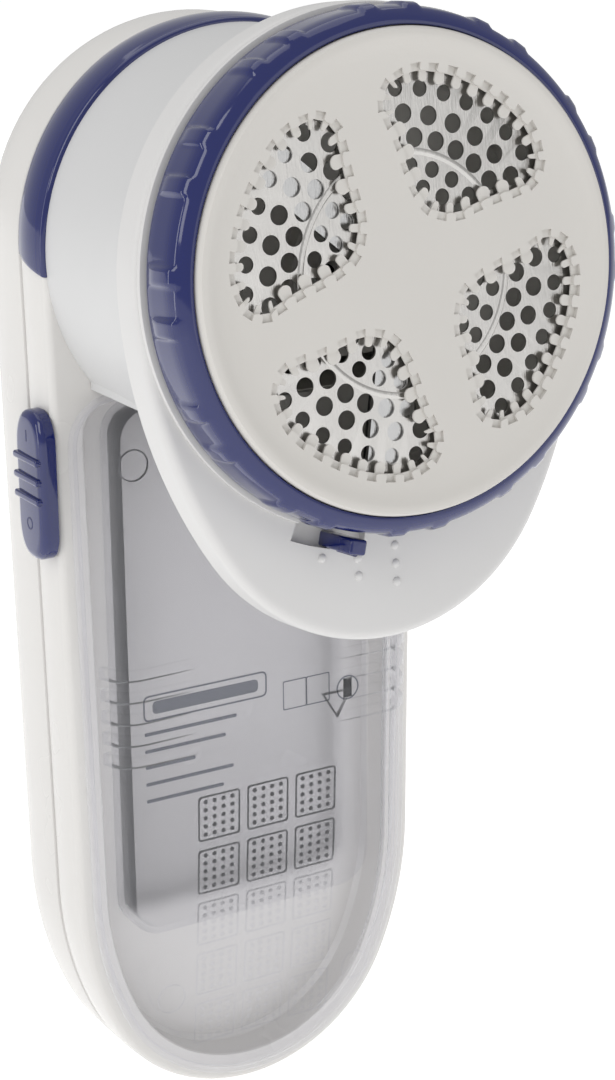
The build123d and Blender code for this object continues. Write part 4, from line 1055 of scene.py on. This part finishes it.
@dataclass
class LintBox:
    """Clear lint box with grip ribs, dotted pads and a rear tray."""

    flange: float = 2.4
    body: float = 5.8
    back: float = 12.6
    flange_front: float = 11.3
    roundness: float = 4.6
    wall: float = 1.3
    tray: tuple[float, float, float] = (47.1, 33.0, 126.1)

    def face(self, z: float) -> float:
        """Depth of the front face at a height."""
        low = max(0.0, 68.0 - z)
        return 6.0 + 3.1 * (low / 46.0) ** 1.7

    def ring(self, inset: float, share: float, top: float, corner: float) -> list[Point]:
        """Ring of the body part of the way from the flange to the front face."""
        loop = []
        for x, _, z in box_ring(inset, 0.0, top, corner):
            loop.append((x, self.flange_front + (self.face(z) - self.flange_front) * share, z))
        return loop

    def build(self, clear: bpy.types.Material) -> None:
        """Builds and dresses the box."""
        f = self.flange
        loops = [box_ring(f + 0.15, self.back, BOX_TOP, 8.0), box_ring(f, self.back - 0.15, BOX_TOP, 8.0),
                 box_ring(f, self.flange_front + 0.35, BOX_TOP, 8.0),
                 box_ring(f + 0.35, self.flange_front, BOX_TOP - 0.3, 7.8),
                 box_ring(self.body - 0.5, self.flange_front, BOX_TOP - 2.2, 6.6),
                 self.ring(self.body, 0.08, BOX_TOP - 2.6, 6.4),
                 self.ring(self.body + 0.3, 0.3, BOX_TOP - 2.8, 6.2)]
        for i in range(0, 9):
            a = pi / 2 * i / 8
            inset = self.body + 0.5 + self.roundness * (1 - cos(a))
            loops.append(self.ring(inset, 0.45 + 0.55 * sin(a), BOX_TOP - 3.0 - 2.6 * (1 - cos(a)), 6.0))
        edge = box_ring(self.body + 0.5 + self.roundness, 0.0, BOX_TOP - 5.6, 6.0)
        for s in (0.93, 0.84, 0.74, 0.62, 0.5, 0.36, 0.22, 0.08, 0.004):
            loop = []
            for x, _, z in edge:
                zz = 70.0 + (z - 70.0) * s
                loop.append((x * s, self.face(zz), zz))
            loops.append(loop)
        shell = loft("lint_box_clear", loops, ends=False)
        close_hole(shell, loops[-1])
        heal(shell)
        use_modifier(shell, "SOLIDIFY", thickness=self.wall, offset=-1.0, use_even_offset=True)
        ribs = self.grips()
        use_modifier(shell, "BOOLEAN", operation="UNION", solver="EXACT", object=ribs)
        bpy.data.objects.remove(ribs)
        place(shell, BODY_MATRIX, 40.0)
        seat(shell, "box", "clear_box", clear, "lint_box")
        self.build_tray(clear)
        self.build_pads(clear)

    def build_tray(self, clear: bpy.types.Material) -> None:
        """Builds the tray behind the flange that reaches into the pocket."""
        width, low, high = self.tray
        loops = []
        for inset, y in ((0.0, 12.4), (0.0, 17.4), (0.4, 18.3), (1.4, 18.8)):
            plan = rounded(width - 2 * inset, high - low - 2 * inset, 6.0 - inset, 8)
            loops.append([(x, y, z + (low + high) / 2) for x, z in plan])
        tray = loft("lint_tray_clear", loops, ends=False)
        close_hole(tray, loops[-1])
        heal(tray)
        use_modifier(tray, "SOLIDIFY", thickness=1.2, offset=-1.0, use_even_offset=True)
        place(tray, BODY_MATRIX, 40.0)
        seat(tray, "box", "clear_box", clear)

    def grips(self) -> bpy.types.Object:
        """Builds the five finger ribs that wrap round each side edge."""
        ribs = []
        for k in range(5):
            z = 83.0 - 3.75 * k
            side_line = handle_curve(0)[:155]
            half = float(np.interp(z, [p[1] for p in side_line], [p[0] for p in side_line]))
            outer, inner = [], []
            for i in range(25):
                s = i / 24
                if s < 0.3:
                    t = s / 0.3
                    x, y, nx, ny = half - 5.9 - 0.4 * t, 10.6 - 1.9 * t, 1.0, -0.1
                elif s < 0.7:
                    a = pi / 2 * (s - 0.3) / 0.4
                    x = half - 6.3 - 4.6 + 4.6 * cos(a)
                    y = 6.0 + 2.7 - 2.7 * sin(a)
                    nx, ny = cos(a), -sin(a)
                else:
                    t = (s - 0.7) / 0.3
                    x, y, nx, ny = half - 10.9 - 9.0 * t, 6.0, 0.0, -1.0
                lift = 1.25 * (1 - s) ** 0.7 + 0.35
                lift *= min(1.0, (s + 0.02) / 0.1) ** 0.5 * min(1.0, (1.02 - s) / 0.08) ** 0.5
                outer.append((x + nx * lift, y + ny * lift))
                inner.append((x - nx * 0.25, y - ny * 0.25))
            outline = outer + inner[::-1]
            for side in (1, -1):
                flat = [(x * side, y) for x, y in outline]
                rib = prism("rib", flat, z - 0.95, z + 0.95)
                bevel_sharp(rib, 0.32, 3, 50.0)
                ribs.append(rib)
        return merge(ribs, "box_grips")

    def build_pads(self, clear: bpy.types.Material) -> None:
        """Builds the dotted pads, the mould marks and the arrow on the front face."""
        dome = lathe("dimple", [(0.42, -0.08), (0.38, 0.12), (0.24, 0.26), (0.05, 0.31)], 8, True)
        parts = []
        for row in range(5):
            for column in range(3):
                cx, cz = -9.4 + 9.4 * column, 55.0 - 9.9 * row
                slope = atan2(self.face(cz - 4) - self.face(cz + 4), 8.0)
                base = Matrix.Translation((cx, self.face(cz), cz)) @ Matrix.Rotation(slope, 4, "X") @ UPRIGHT
                rim = [[(x, y, h) for x, y in rounded(w, w + 0.3, 0.5, 3)]
                       for w, h in ((7.9, -0.1), (7.9, 0.16), (7.5, 0.16), (7.5, -0.1), (7.9, -0.1))]
                pad = loft("pad", rim, ends=False)
                parts.append(copy_of(pad, base))
                bpy.data.objects.remove(pad)
                for i in range(5):
                    for j in range(4):
                        spot = Matrix.Translation((-2.55 + 1.7 * j, -3.0 + 1.5 * i, 0.0))
                        parts.append(copy_of(dome, base @ spot))
        for x, z, y in ((-18.0, 22.0, None), (18.9, 18.4, None), (-22.6, 117.5, 7.6), (22.6, 117.5, 7.6)):
            mark = lathe(
                "gate_mark", [(2.65, -0.15), (2.65, 0.12), (2.45, 0.12), (2.45, -0.15), (2.65, -0.15)], 48
            )
            spot = Matrix.Translation((x, self.face(z) if y is None else y, z))
            parts.append(copy_of(mark, spot @ UPRIGHT))
            bpy.data.objects.remove(mark)
        outer = [(-3.0, 1.7), (3.0, 1.7), (0.0, -3.2)]
        inner = [(-2.45, 1.4), (2.45, 1.4), (0.0, -2.6)]
        arrow = ring_of("arrow_mark", [(x, y, -0.1) for x, y in outer])
        steps = [[(x, y, h) for x, y in line]
                 for line, h in ((outer, 0.3), (inner, 0.3), (inner, -0.1), (outer, -0.1))]
        grow(arrow, steps, [tuple(v.co) for v in arrow.data.vertices])
        heal(arrow)
        parts.append(copy_of(arrow, Matrix.Translation((13.6, 6.0, 71.0)) @ UPRIGHT))
        bpy.data.objects.remove(arrow)
        bpy.data.objects.remove(dome)
        pads = merge(parts, "box_pads_clear")
        place(pads, BODY_MATRIX, 40.0)
        seat(pads, "box", "clear_box", clear)


@dataclass
class WallLabel:
    """Plain printed panel on the pocket's floor: a frame, strokes and two care signs."""

    y: float = FLOOR_Y - 0.02

    def build(self, ink: bpy.types.Material) -> None:
        """Builds and dresses the print."""
        parts = []
        frame_out, frame_in = rounded(24.0, 4.7, 1.0), rounded(23.4, 4.1, 0.8)
        parts.append(self.hoop("frame", frame_out, frame_in, (-4.4, 71.0)))
        parts.append(self.bar((-4.4, 71.0), 20.5, 2.3))
        for k, (width, z) in enumerate(((17.8, 66.4), (15.6, 63.3), (9.6, 60.4), (17.0, 57.3), (15.0, 54.2))):
            parts.append(self.bar((-16.3 + width / 2, z), width, 0.62))
        page_out, page_in = rounded(4.8, 5.4, 0.3), rounded(4.4, 5.0, 0.2)
        parts.append(self.hoop("page", page_out, page_in, (13.2, 67.9)))
        parts.append(self.hoop("page", page_out, page_in, (17.9, 67.9)))
        disc = [[(r * cos(2 * pi * i / 40), r * sin(2 * pi * i / 40)) for i in range(40)] for r in (2.3, 2.0)]
        parts.append(self.hoop("care", disc[0], disc[1], (24.0, 66.9)))
        parts.append(self.bar((24.0, 66.9), 0.45, 3.6))
        label = merge(parts, "wall_print")
        take(label)
        label.matrix_world = UPRIGHT
        bpy.ops.object.transform_apply(location=True, rotation=True, scale=True)
        place(label, BODY_MATRIX @ Matrix.Translation((0, self.y, 0)), 30.0)
        seat(label, "housing", "inner_black", ink)

    def hoop(self, name: str, outer: list[Flat], inner: list[Flat], spot: Flat) -> bpy.types.Object:
        """A thin closed outline."""
        at = [[(x + spot[0], y + spot[1], h) for x, y in line]
              for line, h in ((outer, 0.0), (outer, 0.03), (inner, 0.03), (inner, 0.0), (outer, 0.0))]
        return loft(name, at, ends=False)

    def bar(self, spot: Flat, width: float, height: float) -> bpy.types.Object:
        """A flat stroke."""
        plan = [(x + spot[0], y + spot[1]) for x, y in rounded(width, height, height * 0.3, 2)]
        return prism("stroke", plan, 0.0, 0.03)


# ------------------------------------------------------------- inner parts
class Inside(Enum):
    """Finishes of the parts inside, by node."""

    STEEL = ("shaver_blades", "rotor_spring", "motor_shaft", "motor_screws", "shell_screws",
             "contact_springs", "contact_plates", "motor_can")
    BLACK = ("blade_carrier", "switch_slider", "switch_body", "motor_end_cap")
    WHITE = ("foil_frame", "motor_mount", "lint_chute", "battery_tray")
    MAGNET = ("motor_magnets",)
    BRONZE = ("motor_bushing",)
    SLEEVE = ("battery_cells",)


def dress_inside(nodes: dict[str, bpy.types.Object], finishes: dict[Inside, bpy.types.Material]) -> None:
    """Gives the parts inside their own finishes.

    Args:
        nodes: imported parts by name.
        finishes: material for each group.
    """
    for group, material in finishes.items():
        for name in group.value:
            dress(nodes[name], material)
            LOG.info("%s dressed as %s", name, material.name)


# ------------------------------------------------------------------ the studio
class Studio:
    """Floor, lights and camera."""

    def floor(self) -> None:
        """Lays a pale floor."""
        select_none()
        bpy.ops.mesh.primitive_plane_add(size=8.0, location=(0, 0, 0))
        plane = bpy.context.object
        plane.name = "studio_floor"
        paper = bpy.data.materials.new("matt white paper sweep")
        paper.use_nodes = True
        shader = paper.node_tree.nodes["Principled BSDF"]
        shader.inputs["Base Color"].default_value = (0.93, 0.93, 0.93, 1)
        shader.inputs["Roughness"].default_value = 0.5
        shader.inputs["Emission Color"].default_value = (1, 1, 1, 1)
        shader.inputs["Emission Strength"].default_value = 0.5
        dress(plane, paper)

    def light(self, name: str, spot: Point, aim: Point, size: Flat, watts: float) -> None:
        """Hangs one soft box.

        Args:
            name: name of the lamp.
            spot: where it hangs, metres.
            aim: point it faces.
            size: width and height, metres.
            watts: strength.
        """
        data = bpy.data.lights.new(name, "AREA")
        data.shape = "RECTANGLE"
        data.size, data.size_y = size
        data.energy = watts
        lamp = bpy.data.objects.new(name, data)
        bpy.context.scene.collection.objects.link(lamp)
        lamp.location = spot
        lamp.rotation_euler = (Vector(aim) - Vector(spot)).to_track_quat("-Z", "Y").to_euler()

    def lights(self) -> None:
        """Hangs the soft boxes and sets the room's light."""
        world = bpy.data.worlds.new("white room")
        bpy.context.scene.world = world
        world.use_nodes = True
        sky = world.node_tree.nodes["Background"]
        sky.inputs["Color"].default_value = (1.0, 1.0, 1.0, 1.0)
        sky.inputs["Strength"].default_value = 0.56
        self.light("key", (-0.75, -0.35, 0.75), (0, 0, 0.1), (0.35, 0.8), 2.3)
        self.light("front_fill", (0.35, -1.0, 0.45), (0, 0, 0.1), (0.6, 0.8), 0.9)
        self.light("top", (0.1, 0.2, 1.1), (0, 0, 0.1), (0.9, 0.9), 2.0)
        self.light("side_strip", (-0.9, 0.1, 0.2), (0, 0, 0.12), (0.12, 0.7), 0.8)

    def camera(self) -> None:
        """Sets up the camera."""
        yaw, pitch, roll = radians(-30.62), radians(17.33), radians(-0.73)
        back = Vector((sin(yaw) * cos(pitch), -cos(yaw) * cos(pitch), sin(pitch)))
        side = Vector((cos(yaw), sin(yaw), 0.0))
        rise = back.cross(side)
        right = cos(roll) * side + sin(roll) * rise
        up = -sin(roll) * side + cos(roll) * rise
        data = bpy.data.cameras.new("view")
        data.sensor_fit = "HORIZONTAL"
        data.sensor_width = 36.0
        data.lens = 145.23
        data.clip_start = 0.02
        eye = bpy.data.objects.new("view", data)
        bpy.context.scene.collection.objects.link(eye)
        spot = Vector((-191.23, -331.04, 222.57)) * MM
        eye.matrix_world = Matrix((
            (right.x, up.x, back.x, spot.x), (right.y, up.y, back.y, spot.y),
            (right.z, up.z, back.z, spot.z), (0, 0, 0, 1),
        ))
        bpy.context.scene.camera = eye


def main() -> None:
    """Builds the shaver's looks piece by piece."""
    logging.basicConfig(level=logging.INFO, format="%(name)s %(message)s")
    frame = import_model()
    blue = MouldedPlastic("polished ABS, royal blue", "07175a", Sheen.POLISHED, bump=0.004, coat=0.4).build()
    cream = MouldedPlastic("satin ABS, cream", "cfccc7", Sheen.SPARK_ERODED, bump=0.03).build()
    shell = MouldedPlastic("semi-gloss ABS, warm white", "dad8d5", Sheen.SATIN, bump=0.01).build()
    collar = MouldedPlastic("satin ABS, white", "d5d4d3", Sheen.SPARK_ERODED, bump=0.02).build()
    # the neck is moulded in the shells' white; this greyer copy is painted shade on the side wall under the
    # collar
    neck = MouldedPlastic("satin ABS, white with painted shade", "cecece", Sheen.SPARK_ERODED, bump=0.02).build()
    steel = RolledSteel("rolled foil steel", "cfcdca", 0.24).build()
    clear = ClearPlastic("crystal polystyrene").build()
    ink = MouldedPlastic("grey pad-printing ink", "6d7078", Sheen.SPARK_ERODED, bump=0.0).build()
    paint = MouldedPlastic("engraving in blue ABS", "0d1a52", Sheen.SPARK_ERODED, bump=0.0).build()
    LockRing().build(blue)
    GuardPlate().build(cream)
    Foil().build(steel)
    Collar().build(collar)
    HeightLever().build(blue)
    Neck().build(neck)
    FrontShell().build(shell)
    RearShell().build(shell)
    ArchTrim().build(blue)
    SwitchKnob().build(blue, paint)
    LintBox().build(clear)
    WallLabel().build(ink)
    dress_inside(frame["nodes"], {
        Inside.STEEL: RolledSteel("ground blade steel", "c4c4c4", 0.2, 0.2).build(),
        Inside.BLACK: MouldedPlastic("matt nylon, black", "17171a", Sheen.SPARK_ERODED).build(),
        Inside.WHITE: MouldedPlastic("matt ABS, white", "d6d4cf", Sheen.SPARK_ERODED).build(),
        Inside.MAGNET: MouldedPlastic("sintered ferrite", "26262a", Sheen.SPARK_ERODED, bump=0.08).build(),
        Inside.BRONZE: RolledSteel("sintered bronze", "b98a55", 0.35).build(),
        Inside.SLEEVE: RolledSteel("cell sleeve, grey foil", "8b9097", 0.3).build(),
    })
    studio = Studio()
    studio.floor()
    studio.lights()
    studio.camera()
    bpy.context.scene.view_settings.view_transform = "Standard"
    select_none()


if __name__ == "__main__":
    main()
